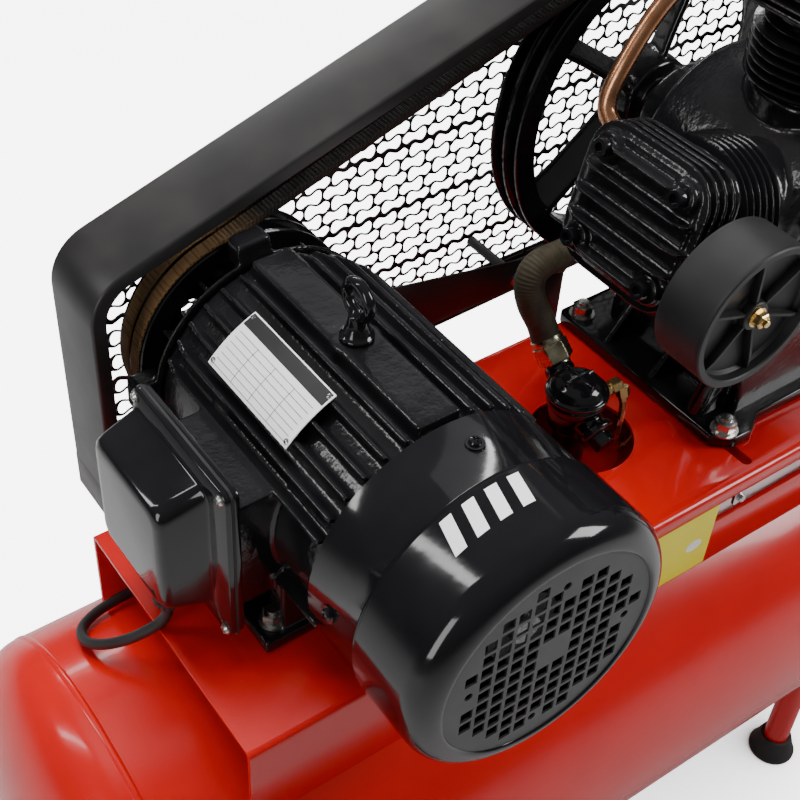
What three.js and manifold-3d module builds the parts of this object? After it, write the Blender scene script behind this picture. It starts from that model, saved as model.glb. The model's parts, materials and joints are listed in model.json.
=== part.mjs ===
// Portable belt-driven air compressor: one horizontal receiver on two wheels and two rest legs,
// with an electric motor and a three-cylinder pump side by side on a saddle platform.
// Millimetres. +X along the receiver from the motor end to the handle end, +Y towards the belt
// guard, +Z up. The origin is on the ground, under the middle of the object's box.
import * as THREE from 'three';
import { mergeVertices } from 'three/addons/utils/BufferGeometryUtils.js';
import Module from 'manifold-3d';

const wasm = await Module();
wasm.setup();

// ---------------------------------------------------------------- driving dimensions
const GAP = 0.3;                      // between pieces that touch
const TANK_RADIUS = 200;
const TANK_WALL = 4;
const TANK_HALF_STRAIGHT = 450;
const TANK_DISH = 75;
const TANK_Z = 320;                   // receiver's axis above the ground
const PLATE_Z = TANK_Z + 250;         // top of the platform
const PLATE_HALF_WIDTH = 125.5;
const PLATE_THICKNESS = 5;
const PLATE_X = [-377, 400];
const WHEEL_RADIUS = 100;
const WHEEL_X = -300;
const WHEEL_Y = 190;
const WHEEL_WIDTH = 40;
const AXLE_RADIUS = 9;
const LEG_X = 330;
const LEG_Y = 140;
const FOOT_HEIGHT = 28;

const MOTOR_X = -202;
const MOTOR_Z = PLATE_Z + 112;        // frame size 112: shaft height
const COWL_RADIUS = 111;
const COWL_Y = [-230, -99];
const FRAME_Y = [-98.7, 130];
const SHIELD_Y = [130.3, 158];
const RIB_RADIUS = 111;
const BARREL_RADIUS = 100;
const BORE_RADIUS = 88;
const SHAFT_RADIUS = 12;
const PULLEY_RADIUS = 100;
const BOX_Y = 15;                     // middle of the terminal box's base along the motor
const LID_Y = 25.5;                   // middle of its cover

const CRANK_X = 250;
const CRANK_Z = PLATE_Z + 193;
const FLYWHEEL_RADIUS = 168;
const RIM_Y = [163, 201];
const GROOVES_Y = [173.5, 190.5];
const GROOVE_DEPTH = 11;
const CYLINDER_LEAN = 76;             // side cylinders lean this far from the vertical, degrees
const CYLINDER_Y = { left: -13, centre: 2, right: 17 };
const CASE_RADIUS = 92;
const CASE_Y = [-72, 100];
const BORE = 65;
const HEAD_START = 172;               // along a cylinder from the crank axis
const HEAD_END = 228;
const HEAD_HALF = 64;

const GUARD_LEFT = -344;
const GUARD_Y = [153, 226];
const GUARD_CLEARANCE = 34;           // from the flywheel's rim to the guard's band
const GUARD_SLOPE = 17.4;             // rise of the top band, degrees
const GUARD_BOTTOM = PLATE_Z - 10;

const RED = { color: 0xc01208, roughness: 0.3, metalness: 0.0 };
const BLACK_GLOSS = { color: 0x141414, roughness: 0.18, metalness: 0.1 };
const BLACK_SATIN = { color: 0x2b2b2c, roughness: 0.45, metalness: 0.1 };
const BLACK_PLASTIC = { color: 0x262627, roughness: 0.6, metalness: 0.0 };
const RUBBER = { color: 0x1c1b1a, roughness: 0.85, metalness: 0.0 };
const STEEL = { color: 0xa9abad, roughness: 0.32, metalness: 1.0 };
const CAST_IRON = { color: 0x1b1b1c, roughness: 0.35, metalness: 0.4 };
const BRASS = { color: 0xb8974f, roughness: 0.35, metalness: 1.0 };
const COPPER = { color: 0xb4673c, roughness: 0.35, metalness: 1.0 };
const HOSE = { color: 0x3b362a, roughness: 0.7, metalness: 0.0 };
const BELT = { color: 0x8a623a, roughness: 0.85, metalness: 0.0 };
const WHITE = { color: 0xe8e8e6, roughness: 0.4, metalness: 0.0 };
const REDCAP = { color: 0xb3120c, roughness: 0.45, metalness: 0.0 };

// ---------------------------------------------------------------- helpers
const rad = THREE.MathUtils.degToRad;

// Merges a geometry's corners, drops empty triangles and turns its faces outwards.
function weld(geometry) {
  const bare = new THREE.BufferGeometry();
  bare.setAttribute('position', geometry.attributes.position.clone());
  if (geometry.index) bare.setIndex(geometry.index.clone());
  const merged = mergeVertices(bare, 1e-3);
  const p = merged.attributes.position;
  const index = Array.from(merged.index.array);
  const corners = [];
  let volume = 0;
  const a = new THREE.Vector3();
  const b = new THREE.Vector3();
  const c = new THREE.Vector3();
  for (let i = 0; i < index.length; i += 3) {
    const [u, v, w] = index.slice(i, i + 3);
    if (u === v || v === w || w === u) continue;
    corners.push(u, v, w);
    a.fromBufferAttribute(p, u);
    b.fromBufferAttribute(p, v);
    c.fromBufferAttribute(p, w);
    volume += a.dot(b.cross(c)) / 6;
  }
  if (volume < 0) {
    for (let i = 0; i < corners.length; i += 3) {
      [corners[i], corners[i + 1]] = [corners[i + 1], corners[i]];
    }
  }
  merged.setIndex(corners);
  return merged;
}

function solid(geometry) {
  const g = weld(geometry);
  const mesh = new wasm.Mesh({
    numProp: 3,
    vertProperties: new Float32Array(g.attributes.position.array),
    triVerts: new Uint32Array(g.index.array),
  });
  return new wasm.Manifold(mesh);
}

function surface(manifold) {
  const mesh = manifold.getMesh();
  const g = new THREE.BufferGeometry();
  g.setAttribute('position', new THREE.BufferAttribute(new Float32Array(mesh.vertProperties), 3));
  g.setIndex(new THREE.BufferAttribute(new Uint32Array(mesh.triVerts), 1));
  return g;
}

const join = (parts) => parts.map((g) => (g.getMesh ? g : solid(g))).reduce((m, n) => m.add(n));
const cut = (body, tools) => body.subtract(join(tools));

function box(x0, x1, y0, y1, z0, z1) {
  const g = new THREE.BoxGeometry(x1 - x0, y1 - y0, z1 - z0);
  return g.translate((x0 + x1) / 2, (y0 + y1) / 2, (z0 + z1) / 2);
}

// Turns a shape built along Y so that it runs along the named axis.
function along(geometry, axis) {
  if (axis === 'x') geometry.rotateZ(-Math.PI / 2);
  if (axis === 'z') geometry.rotateX(Math.PI / 2);
  return geometry;
}

function rod(radius, from, to, axis, at, sides = 24) {
  const g = new THREE.CylinderGeometry(radius, radius, to - from, sides);
  g.translate(0, (from + to) / 2, 0);
  return along(g, axis).translate(...at);
}

// Revolves a profile of [radius, distance along the axis] corners.
function turned(profile, axis, at, segments = 32) {
  const points = profile.map(([r, h]) => new THREE.Vector2(r, h));
  return along(new THREE.LatheGeometry(points, segments), axis).translate(...at);
}

function ring(inner, outer, from, to, axis, at, segments = 32) {
  const profile = [[inner, from], [outer, from], [outer, to], [inner, to], [inner, from]];
  return turned(profile, axis, at, segments);
}

// A flat plate cut from an outline in the X-Z plane.
function plateXZ(shape, y0, y1, curveSegments = 12) {
  const g = new THREE.ExtrudeGeometry(shape, { depth: y1 - y0, bevelEnabled: false, curveSegments });
  return g.rotateX(Math.PI / 2).translate(0, y1, 0);
}

function plateXY(shape, z0, z1, curveSegments = 12) {
  const g = new THREE.ExtrudeGeometry(shape, { depth: z1 - z0, bevelEnabled: false, curveSegments });
  return g.translate(0, 0, z0);
}

// A round bar, hose or lead along a smooth curve through the given points.
function tube(points, radius, steps, sides = 10) {
  const curve = new THREE.CatmullRomCurve3(points.map((p) => new THREE.Vector3(...p)));
  const section = new THREE.Shape();
  for (let i = 0; i < sides; i += 1) {
    const t = (2 * Math.PI * i) / sides;
    const x = radius * Math.cos(t);
    const y = radius * Math.sin(t);
    if (i === 0) section.moveTo(x, y);
    else section.lineTo(x, y);
  }
  section.closePath();
  return new THREE.ExtrudeGeometry(section, { steps, extrudePath: curve });
}

function polygon(points) {
  const shape = new THREE.Shape();
  points.forEach(([x, y], i) => (i === 0 ? shape.moveTo(x, y) : shape.lineTo(x, y)));
  shape.closePath();
  return shape;
}

const machine = new THREE.Group();

function node(name, shape, finish, parent = machine) {
  const geometry = shape.getMesh ? surface(shape) : weld(shape);
  const mesh = new THREE.Mesh(geometry, new THREE.MeshStandardMaterial(finish));
  mesh.name = name;
  parent.add(mesh);
  return mesh;
}

// ---------------------------------------------------------------- receiver and its running gear
// Steel vessel with dished ends; the check valve's stem goes in through the one open boss on top.
const VALVE = [40, 5];
function vessel(radius, dishDepth) {
  const profile = [];
  const steps = 3;
  for (const end of [-1, 1]) {
    for (let i = 0; i <= steps; i += 1) {
      const t = (Math.PI / 2) * ((end < 0 ? i : steps - i) / steps);
      profile.push([radius * Math.sin(t), end * (TANK_HALF_STRAIGHT + dishDepth * Math.cos(t))]);
    }
  }
  return solid(turned(profile, 'x', [0, 0, TANK_Z], 40));
}
const VALVE_STEM = 10;
node('tank_shell', vessel(TANK_RADIUS, TANK_DISH).subtract(join([
  vessel(TANK_RADIUS - TANK_WALL, TANK_DISH - TANK_WALL),
  rod(VALVE_STEM + GAP, TANK_Z + 150, TANK_Z + 260, 'z', [...VALVE, 0], 24),
])), RED);

const tankSkin = (radius, x0, x1) => rod(radius, x0, x1, 'x', [0, 0, TANK_Z], 64);

// Folded sheet platform: a flat top and two down-turned flanges scribed to the receiver.
function platform() {
  const [x0, x1] = PLATE_X;
  const w = PLATE_HALF_WIDTH;
  const low = TANK_Z + 120;
  let sheet = join([
    box(x0, x1, -w, w, PLATE_Z - PLATE_THICKNESS, PLATE_Z),
    box(x0, x1, -w, -w + PLATE_THICKNESS, low, PLATE_Z),
    box(x0, x1, w - PLATE_THICKNESS, w, low, PLATE_Z),
  ]);
  const holes = [tankSkin(TANK_RADIUS + GAP, x0 - 10, x1 + 10)];
  holes.push(rod(47.5, PLATE_Z - 20, PLATE_Z + 20, 'z', [43, -5.5, 0], 32));
  for (const x of [CRANK_X - 106, CRANK_X + 106]) {
    for (const y of [-79, 110]) {
      holes.push(box(x - 5, x + 5, y - 35, Math.min(y + 35, w - 7), PLATE_Z - 20, PLATE_Z + 20));
    }
  }
  holes.push(box(92, 330, -w - 10, -w + 10, PLATE_Z - 40, PLATE_Z - 16));
  sheet = cut(sheet, holes);
  return sheet;
}
node('platform', platform(), RED);

// A half-round strap under the receiver, open at the top, with extra pieces joined on.
function saddle(x0, x1, extras) {
  const strap = solid(ring(TANK_RADIUS + GAP, TANK_RADIUS + 6, x0, x1, 'x', [0, 0, TANK_Z], 64));
  const upper = box(x0 - 1, x1 + 1, -300, 300, TANK_Z - 60, TANK_Z + 300);
  return join([cut(strap, [upper]), ...extras]);
}

const HUB_RADIUS = 24;
const wheelClear = WHEEL_Y - WHEEL_WIDTH / 2;
node('axle', rod(AXLE_RADIUS, -WHEEL_Y - 32, WHEEL_Y + 32, 'y', [WHEEL_X, 0, WHEEL_RADIUS], 24), STEEL);
function axleBracket() {
  const plates = [-1, 1].map((s) => {
    const y = s * 120;
    return box(WHEEL_X - 28, WHEEL_X + 28, y - 3, y + 3, WHEEL_RADIUS - 20, TANK_Z - 150);
  });
  const body = saddle(WHEEL_X - 28, WHEEL_X + 28, plates);
  return cut(body, [
    tankSkin(TANK_RADIUS + GAP, WHEEL_X - 40, WHEEL_X + 40),
    rod(AXLE_RADIUS + GAP, -200, 200, 'y', [WHEEL_X, 0, WHEEL_RADIUS], 24),
  ]);
}
node('axle_bracket', axleBracket(), RED);

for (const [side, s] of [['left', 1], ['right', -1]]) {
  const at = [WHEEL_X, s * WHEEL_Y, WHEEL_RADIUS];
  const h = WHEEL_WIDTH / 2;
  node(`wheel_rim_${side}`, turned([
    [AXLE_RADIUS + GAP, -h - 4], [HUB_RADIUS - 8, -h - 4], [HUB_RADIUS - 8, -6],
    [66, -6], [66, -h + 4], [72, -h + 2], [72, h - 2], [66, h - 4], [66, 6],
    [HUB_RADIUS - 8, 6], [HUB_RADIUS - 8, h + 4], [AXLE_RADIUS + GAP, h + 4],
    [AXLE_RADIUS + GAP, -h - 4],
  ], 'y', at, 20), BLACK_PLASTIC);
  node(`tyre_${side}`, turned([
    [72 + GAP, -h + 2], [90, -h], [97, -h + 5], [WHEEL_RADIUS, -8], [WHEEL_RADIUS, 8],
    [97, h - 5], [90, h], [72 + GAP, h - 2], [72 + GAP, -h + 2],
  ], 'y', at, 20), RUBBER);
}

// Rest legs: a strap with two tubes that end in rubber feet.
function legFrame() {
  const top = TANK_Z - Math.sqrt(TANK_RADIUS ** 2 - LEG_Y ** 2) + 10;
  const tubes = [-1, 1].map((s) => rod(14, FOOT_HEIGHT - 10, top, 'z', [LEG_X, s * LEG_Y, 0], 20));
  const body = saddle(LEG_X - 30, LEG_X + 30, tubes);
  return cut(body, [tankSkin(TANK_RADIUS + GAP, LEG_X - 50, LEG_X + 50)]);
}
node('leg_frame', legFrame(), RED);
for (const [side, s] of [['left', 1], ['right', -1]]) {
  node(`foot_${side}`, turned([
    [0, 0], [26, 0], [24, 6], [18, FOOT_HEIGHT], [14 + GAP, FOOT_HEIGHT],
    [14 + GAP, FOOT_HEIGHT - 10 - GAP], [0, FOOT_HEIGHT - 10 - GAP],
  ], 'z', [LEG_X, s * LEG_Y, 0], 24), RUBBER);
}

// Push handle: one bent tube from the receiver's far end, with a grip sleeve on the cross bar.
const HANDLE_TOP_Z = 880;
const HANDLE_X = 690;
function pushHandle() {
  const w = 165;
  const arm = (s) => tube([
    [430, s * w, TANK_Z + 140], [500, s * w, TANK_Z + 190], [570, s * w, TANK_Z + 290],
    [630, s * w, HANDLE_TOP_Z - 100], [HANDLE_X, s * w, HANDLE_TOP_Z],
  ], 13, 10, 10);
  const bar = rod(13, -w, w, 'y', [HANDLE_X, 0, HANDLE_TOP_Z], 12);
  const lugs = [-1, 1].map((s) => box(405, 440, s * w - 16, s * w + 16, TANK_Z + 95, TANK_Z + 150));
  const balls = [-1, 1].map((s) => new THREE.SphereGeometry(13, 10, 6)
    .translate(HANDLE_X, s * w, HANDLE_TOP_Z));
  const body = join([arm(-1), arm(1), bar, ...lugs, ...balls]);
  return cut(body, [tankSkin(TANK_RADIUS + GAP, 390, TANK_HALF_STRAIGHT)]);
}
node('push_handle', pushHandle(), BLACK_SATIN);
node('handle_grip', ring(13 + GAP, 18, -130, 130, 'y', [HANDLE_X, 0, HANDLE_TOP_Z], 12), RUBBER);

// ---------------------------------------------------------------- motor
const motorAt = [MOTOR_X, 0, MOTOR_Z];
const boxInnerX = -335;               // terminal pedestal's outer face

// Ribbed iron barrel with its feet and the pedestal of the terminal box.
function motorFrame() {
  const [y0, y1] = FRAME_Y;
  const parts = [ring(BORE_RADIUS, BARREL_RADIUS, y0, y1, 'y', motorAt, 48)];
  for (let i = 0; i < 36; i += 1) {
    const angle = i * 10 + 5;
    const side = Math.abs(angle - 180) < 32;
    const under = angle > 232 && angle < 308;
    const crown = Math.abs(angle - 90) < 12;
    if (side || under || crown) continue;
    const rib = box(BARREL_RADIUS - 4, RIB_RADIUS, y0 + 2, y1 - 6, -2, 2);
    parts.push(rib.rotateY(-rad(angle)).translate(...motorAt));
  }
  parts.push(box(MOTOR_X - 19, MOTOR_X + 19, y0 + 2, y1 - 4, MOTOR_Z + 92, MOTOR_Z + 112));
  parts.push(box(boxInnerX + GAP, MOTOR_X - 80, -52, 70, MOTOR_Z - 70, MOTOR_Z + 66));
  for (const s of [-1, 1]) {
    const x0 = MOTOR_X + s * 95;
    parts.push(box(x0 - 24, x0 + 24, -58, 122, PLATE_Z + GAP, PLATE_Z + 14));
    for (const y of [-40, 102]) {
      const web = box(-26, 26, y - 14, y + 14, -30, 30).rotateY(0);
      parts.push(web.translate(MOTOR_X + s * 76, 0, PLATE_Z + 36));
    }
  }
  const bore = rod(BORE_RADIUS, y0 - 1, y1 + 1, 'y', motorAt, 48);
  return cut(join(parts), [bore]);
}
node('motor_frame', motorFrame(), CAST_IRON);

// End shields carry the bearings; the drive-end one is dished and has lifting lugs.
const BEARING_SEAT = SHAFT_RADIUS + GAP;
function driveShield() {
  const [y0, y1] = SHIELD_Y;
  const disc = turned([
    [BEARING_SEAT, y0 + 6], [70, y0 + 6], [80, y0], [104, y0], [104, y0 + 9], [92, y0 + 13],
    [50, y1 - 6], [34, y1], [BEARING_SEAT, y1], [BEARING_SEAT, y0 + 6],
  ], 'y', motorAt, 28);
  const lugs = [45, 94, 135, 178].map((a) => box(98, 116, y0, y0 + 14, -9, 9)
    .rotateY(-rad(a)).translate(...motorAt));
  return join([disc, ...lugs]);
}
node('drive_shield', driveShield(), CAST_IRON);
node('fan_shield', turned([
  [BEARING_SEAT, -112], [30, -112], [96, -107], [96, -99], [BEARING_SEAT, -99],
  [BEARING_SEAT, -112],
], 'y', motorAt, 32), CAST_IRON);

node('stator', ring(54, BORE_RADIUS - GAP, -52, 88, 'y', motorAt, 32), STEEL);
node('rotor', turned([
  [0, -205], [SHAFT_RADIUS, -205], [SHAFT_RADIUS, -48], [53.4, -48], [53.4, 84],
  [SHAFT_RADIUS, 84], [SHAFT_RADIUS, 206], [0, 206],
], 'y', motorAt, 32), STEEL);

// Pressed cover over the cooling fan: a bead round its skirt, a rolled edge and a grille face.
function fanCowl() {
  const [front, back] = COWL_Y;
  const wall = 2.2;
  const r = COWL_RADIUS;
  const roll = 21;
  const outer = [];
  const inner = [];
  for (let i = 0; i <= 4; i += 1) {
    const t = (Math.PI / 2) * (i / 4);
    outer.push([r - roll + roll * Math.sin(t), front + roll - roll * Math.cos(t)]);
    inner.push([r - roll + (roll - wall) * Math.sin(t), front + roll - (roll - wall) * Math.cos(t)]);
  }
  const bead = -156;
  const skirt = [[r, bead - 3], [r + 1, bead], [r, bead + 3], [r, back], [r - wall, back]];
  const shell = solid(turned([[0, front], ...outer, ...skirt, ...inner.reverse(), [0, front + wall]],
    'y', motorAt, 32));
  const pitch = 22;
  const holes = [];
  for (let i = -3; i <= 3; i += 1) {
    for (let j = -3; j <= 3; j += 1) {
      if (Math.hypot(i, j) * pitch > 74) continue;
      const x = MOTOR_X + i * pitch;
      const z = MOTOR_Z + j * pitch;
      holes.push(box(x - 8.5, x + 8.5, front - 5, front + 8, z - 8.5, z + 8.5));
    }
  }
  return cut(shell, holes);
}
node('fan_cowl', fanCowl(), BLACK_GLOSS);

function coolingFan() {
  const parts = [ring(SHAFT_RADIUS + GAP, 30, -200, -150, 'y', motorAt, 24)];
  parts.push(ring(28, 70, -153, -149, 'y', motorAt, 24));
  for (let i = 0; i < 8; i += 1) {
    parts.push(box(26, 88, -192, -150, -1.5, 1.5).rotateY(rad(45 * i)).translate(...motorAt));
  }
  return join(parts);
}
node('cooling_fan', coolingFan(), BLACK_PLASTIC);

// Groove walls are straight in section: wide at the rim, narrow at the floor.
function groovedRim(radius, depth, inner) {
  const [y0, y1] = RIM_Y;
  const profile = [[inner, y0], [radius, y0]];
  for (const y of GROOVES_Y) {
    profile.push([radius, y - 7.2], [radius - depth, y - 5.6], [radius - depth, y + 5.6]);
    profile.push([radius, y + 7.2]);
  }
  profile.push([radius, y1], [inner, y1], [inner, y0]);
  return profile;
}
const WEB_Y = [176, 188];
node('motor_pulley', join([
  turned(groovedRim(PULLEY_RADIUS, GROOVE_DEPTH, 80), 'y', motorAt, 28),
  ring(30, 82, ...WEB_Y, 'y', motorAt, 24),
  ring(SHAFT_RADIUS + GAP, 31, 164, 204, 'y', motorAt, 24),
]), CAST_IRON);

// Lifting eye on the crown pad.
const EYE_Y = 5;
node('eye_bolt', join([
  rod(13, MOTOR_Z + 112 + GAP, MOTOR_Z + 122, 'z', [MOTOR_X, EYE_Y, 0], 20),
  rod(8, MOTOR_Z + 121, MOTOR_Z + 134, 'z', [MOTOR_X, EYE_Y, 0], 16),
  new THREE.TorusGeometry(14, 4.6, 8, 20).rotateY(Math.PI / 2).translate(MOTOR_X, EYE_Y, MOTOR_Z + 146),
]), CAST_IRON);

// Data plate, left blank, on the rounded flank.
node('nameplate', box(RIB_RADIUS + GAP, RIB_RADIUS + 1.5, -32, 76, -26, 26)
  .rotateY(-rad(125.4)).translate(...motorAt), WHITE);

// Terminal box: a base plate with a rim, and a tapered cover that opens away from the motor.
node('terminal_base', join([
  box(-342, boxInnerX, BOX_Y - 68, BOX_Y + 68, MOTOR_Z - 78, MOTOR_Z + 78),
]), BLACK_GLOSS);
function taperedShell(x0, x1, half0, half1, wall) {
  const frustum = (xa, xb, ha, hb) => {
    const g = new THREE.BoxGeometry(1, 1, 1);
    const p = g.attributes.position;
    for (let i = 0; i < p.count; i += 1) {
      const root = p.getX(i) > 0;
      const [hy, hz] = root ? ha : hb;
      p.setXYZ(i, root ? xa : xb, LID_Y + 2 * p.getY(i) * hy, MOTOR_Z + 2 * p.getZ(i) * hz);
    }
    return g;
  };
  const shrink = ([a, b]) => [a - wall, b - wall];
  const shell = solid(frustum(x0, x1, half0, half1));
  return shell.subtract(solid(frustum(x0 + 1, x1 + wall, shrink(half0), shrink(half1))));
}
const LID_X = [-342 - GAP, -386];
node('terminal_lid', join([
  taperedShell(...LID_X, [54, 62], [50, 53.5], 2.5),
  cut(solid(box(LID_X[0] - 4, LID_X[0], BOX_Y - 68, BOX_Y + 68, MOTOR_Z - 78, MOTOR_Z + 78)),
    [box(LID_X[0] - 9, LID_X[0] + 9, LID_Y - 51, LID_Y + 51, MOTOR_Z - 59, MOTOR_Z + 59)]),
]), BLACK_GLOSS);

// Cable gland under the box, and the lead that runs from it to the pressure switch.
const GLAND = [-370, 5, PLATE_Z + 54];
node('cable_gland', turned([
  [0, 0], [6.5, 0], [9, 8], [11, 9], [11, 22], [0, 22],
], 'z', [GLAND[0], GLAND[1], GLAND[2] - 24], 12), BLACK_PLASTIC);
const LEAD_RADIUS = 4.5;
const SWITCH = [440, 0];
const SWITCH_GLAND_Z = PLATE_Z + 30;
const LEAD_LEVEL = PLATE_Z - 68;      // run under the platform, just inside its rear flange
const LEAD_ROUTE = [
  [GLAND[0], GLAND[1], GLAND[2] - 25], [-370.5, 5.5, PLATE_Z + 22], [-376, 9, PLATE_Z + 9],
  [-385, 16, PLATE_Z - 3], [-396, 28, PLATE_Z - 19], [-408, 44, PLATE_Z - 35],
  [-417, 65, PLATE_Z - 50], [-412, 88, PLATE_Z - 62], [-394, 101, LEAD_LEVEL],
  [-366, 105, LEAD_LEVEL], [-330, 105, LEAD_LEVEL], [-150, 105, LEAD_LEVEL], [50, 105, LEAD_LEVEL],
  [250, 105, LEAD_LEVEL], [366, 105, LEAD_LEVEL], [400, 106, LEAD_LEVEL + 2],
  [426, 107, LEAD_LEVEL + 12], [439, 107, LEAD_LEVEL + 34], [440, 102, LEAD_LEVEL + 60],
  [440, 88, LEAD_LEVEL + 84], [440, 68, SWITCH_GLAND_Z - 2], [440, 51, SWITCH_GLAND_Z],
];
node('motor_lead', tube(LEAD_ROUTE, LEAD_RADIUS, 64, 6), RUBBER);

// ---------------------------------------------------------------- pump
const crankAt = [CRANK_X, 0, CRANK_Z];
const BASE_X = [CRANK_X - 122, CRANK_X + 122];
const BASE_Y = [-93, 127];
const JOURNAL = 20;

// Iron case: a drum round the crankshaft on a skirt that flares to a base plate.
function crankcase() {
  const [x0, x1] = BASE_X;
  const [y0, y1] = BASE_Y;
  const base = plateXY(polygon([
    [x0 + 6, y0], [x0 + 36, y0], [x0 + 60, y0 + 14], [x1 - 60, y0 + 14], [x1 - 36, y0],
    [x1 - 6, y0], [x1, y0 + 6], [x1, y1], [x0, y1], [x0, y0 + 6],
  ]), PLATE_Z + GAP, PLATE_Z + 13);
  const [c0, c1] = CASE_Y;
  const skirt = plateXZ(polygon([
    [CRANK_X - 82, PLATE_Z + 8], [CRANK_X + 82, PLATE_Z + 8],
    [CRANK_X + 80, CRANK_Z], [CRANK_X - 80, CRANK_Z],
  ]), c0, c1);
  const parts = [base, skirt, rod(CASE_RADIUS, c0, c1, 'y', crankAt, 36)];
  parts.push(rod(46, c1 - 2, c1 + 44, 'y', crankAt, 24));
  parts.push(rod(58, c0 - 16, c0 + 2, 'y', crankAt, 24));
  for (const y of [-52, 8, 68]) {
    for (const s of [-1, 1]) {
      const gusset = polygon([
        [CRANK_X + s * 80, PLATE_Z + 12], [CRANK_X + s * 118, PLATE_Z + 12],
        [CRANK_X + s * 80, PLATE_Z + 62],
      ]);
      parts.push(plateXZ(gusset, y - 4, y + 4));
    }
  }
  const hollow = [
    rod(CASE_RADIUS - 9, c0 + 8, c1 - 8, 'y', crankAt, 36),
    rod(JOURNAL + GAP, c0 - 6, c1 + 60, 'y', crankAt, 24),
    box(CRANK_X - 70, CRANK_X + 70, c0 + 8, c1 - 8, PLATE_Z + 20, CRANK_Z),
  ];
  for (const [side, y] of Object.entries(CYLINDER_Y)) {
    hollow.push(...onCylinder(side, [rod(BORE / 2 + 8, 30, 130, 'y', [0, 0, 0], 28)], y));
  }
  return cut(join(parts), hollow);
}

// Places shapes built along +Y from the crank axis onto the named cylinder.
function onCylinder(side, shapes, y = CYLINDER_Y[side]) {
  const lean = { left: CYLINDER_LEAN, centre: 0, right: -CYLINDER_LEAN }[side];
  return shapes.map((g) => g.rotateX(Math.PI / 2).rotateY(-rad(lean)).translate(CRANK_X, y, CRANK_Z));
}
node('crankcase', crankcase(), CAST_IRON);

// Crankshaft with two round webs and one pin shared by the three rods.
const THROW = 25;
function crankshaft() {
  const pin = rod(15, -40, 50, 'y', [CRANK_X, 0, CRANK_Z + THROW], 20);
  return join([
    rod(JOURNAL, CASE_Y[0] - 5, -36, 'y', crankAt, 24),
    rod(JOURNAL, 46, 200, 'y', crankAt, 24),
    rod(46, -52, -38, 'y', crankAt, 24),
    rod(46, 48, 62, 'y', crankAt, 24),
    pin,
  ]);
}
node('crankshaft', crankshaft(), STEEL);
// Flywheel: grooved rim, five blade-like spokes that drive the cooling air, and a split hub.
function flywheel() {
  const parts = [turned(groovedRim(FLYWHEEL_RADIUS, GROOVE_DEPTH, 146), 'y', crankAt, 36)];
  parts.push(ring(JOURNAL + GAP, 38, 160, 203, 'y', crankAt, 32));
  for (let i = 0; i < 5; i += 1) {
    const spoke = box(34, 149, -5, 5, -17, 17).rotateX(rad(28)).rotateY(rad(72 * i));
    parts.push(spoke.translate(CRANK_X, 182, CRANK_Z));
  }
  return join(parts);
}
node('flywheel', flywheel(), CAST_IRON);

// Finned barrels, heads and pistons, one set for each cylinder.
const FINS = 3;
function barrelProfile() {
  const start = CASE_RADIUS + 6;
  const end = HEAD_START - 4;
  const profile = [[BORE / 2, start], [48, start], [48, start + 8], [40, start + 8]];
  const pitch = (end - start - 14) / FINS;
  for (let i = 0; i < FINS; i += 1) {
    const h = start + 13 + i * pitch;
    const tip = i === FINS - 1 ? 52 : 60;
    profile.push([40, h], [tip, h], [tip, h + 3], [40, h + 3]);
  }
  profile.push([40, end], [BORE / 2, end], [BORE / 2, start]);
  return profile;
}
function head() {
  const h = HEAD_HALF;
  const corner = 26;
  const outline = new THREE.Shape();
  outline.moveTo(-h + corner, -h);
  outline.lineTo(h - corner, -h);
  outline.quadraticCurveTo(h, -h, h, -h + corner);
  outline.lineTo(h, h - corner);
  outline.quadraticCurveTo(h, h, h - corner, h);
  outline.lineTo(-h + corner, h);
  outline.quadraticCurveTo(-h, h, -h, h - corner);
  outline.lineTo(-h, -h + corner);
  outline.quadraticCurveTo(-h, -h, -h + corner, -h);
  const slab = new THREE.ExtrudeGeometry(outline, {
    depth: HEAD_END - HEAD_START, bevelEnabled: false, curveSegments: 5,
  });
  slab.rotateX(-Math.PI / 2).translate(0, HEAD_START, 0);
  const grooves = [];
  for (let i = -3; i <= 3; i += 1) {
    const x = i * 15;
    grooves.push(box(x - 4.5, x + 4.5, HEAD_END - 16, HEAD_END + 2, -h - 2, h + 2));
  }
  for (const level of [0.34, 0.62]) {
    const y = HEAD_START + level * (HEAD_END - HEAD_START);
    for (const s of [-1, 1]) {
      grooves.push(box(Math.min(s * 70, s * 52), Math.max(s * 70, s * 52), y - 3, y + 3, -h - 2, h + 2));
    }
  }
  return cut(solid(slab), grooves);
}
// The crank pin stands at the top, so the upright piston is at the end of its stroke.
const ROD_LENGTH = 115;
const TOP_CROWN = 166;
const crownAt = (angle) => TOP_CROWN - (ROD_LENGTH + THROW) + THROW * Math.cos(rad(angle))
  + Math.sqrt(ROD_LENGTH ** 2 - (THROW * Math.sin(rad(angle))) ** 2);
const PISTON_CROWN = {
  left: crownAt(CYLINDER_LEAN), centre: crownAt(0), right: crownAt(CYLINDER_LEAN),
};
for (const side of ['left', 'centre', 'right']) {
  const [barrel] = onCylinder(side, [turned(barrelProfile(), 'y', [0, 0, 0], 18)]);
  node(`cylinder_${side}`, barrel, CAST_IRON);
  const [cap] = onCylinder(side, [surface(head())]);
  node(`head_${side}`, cap, CAST_IRON);
  const crown = PISTON_CROWN[side];
  const skirt = BORE / 2 - 0.5;
  const piston = turned([
    [0, crown - 14], [26, crown - 14], [26, crown - 36], [skirt, crown - 36], [skirt, crown],
    [0, crown],
  ], 'y', [0, 0, 0], 18);
  node(`piston_${side}`, onCylinder(side, [piston])[0], STEEL);
}

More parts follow.
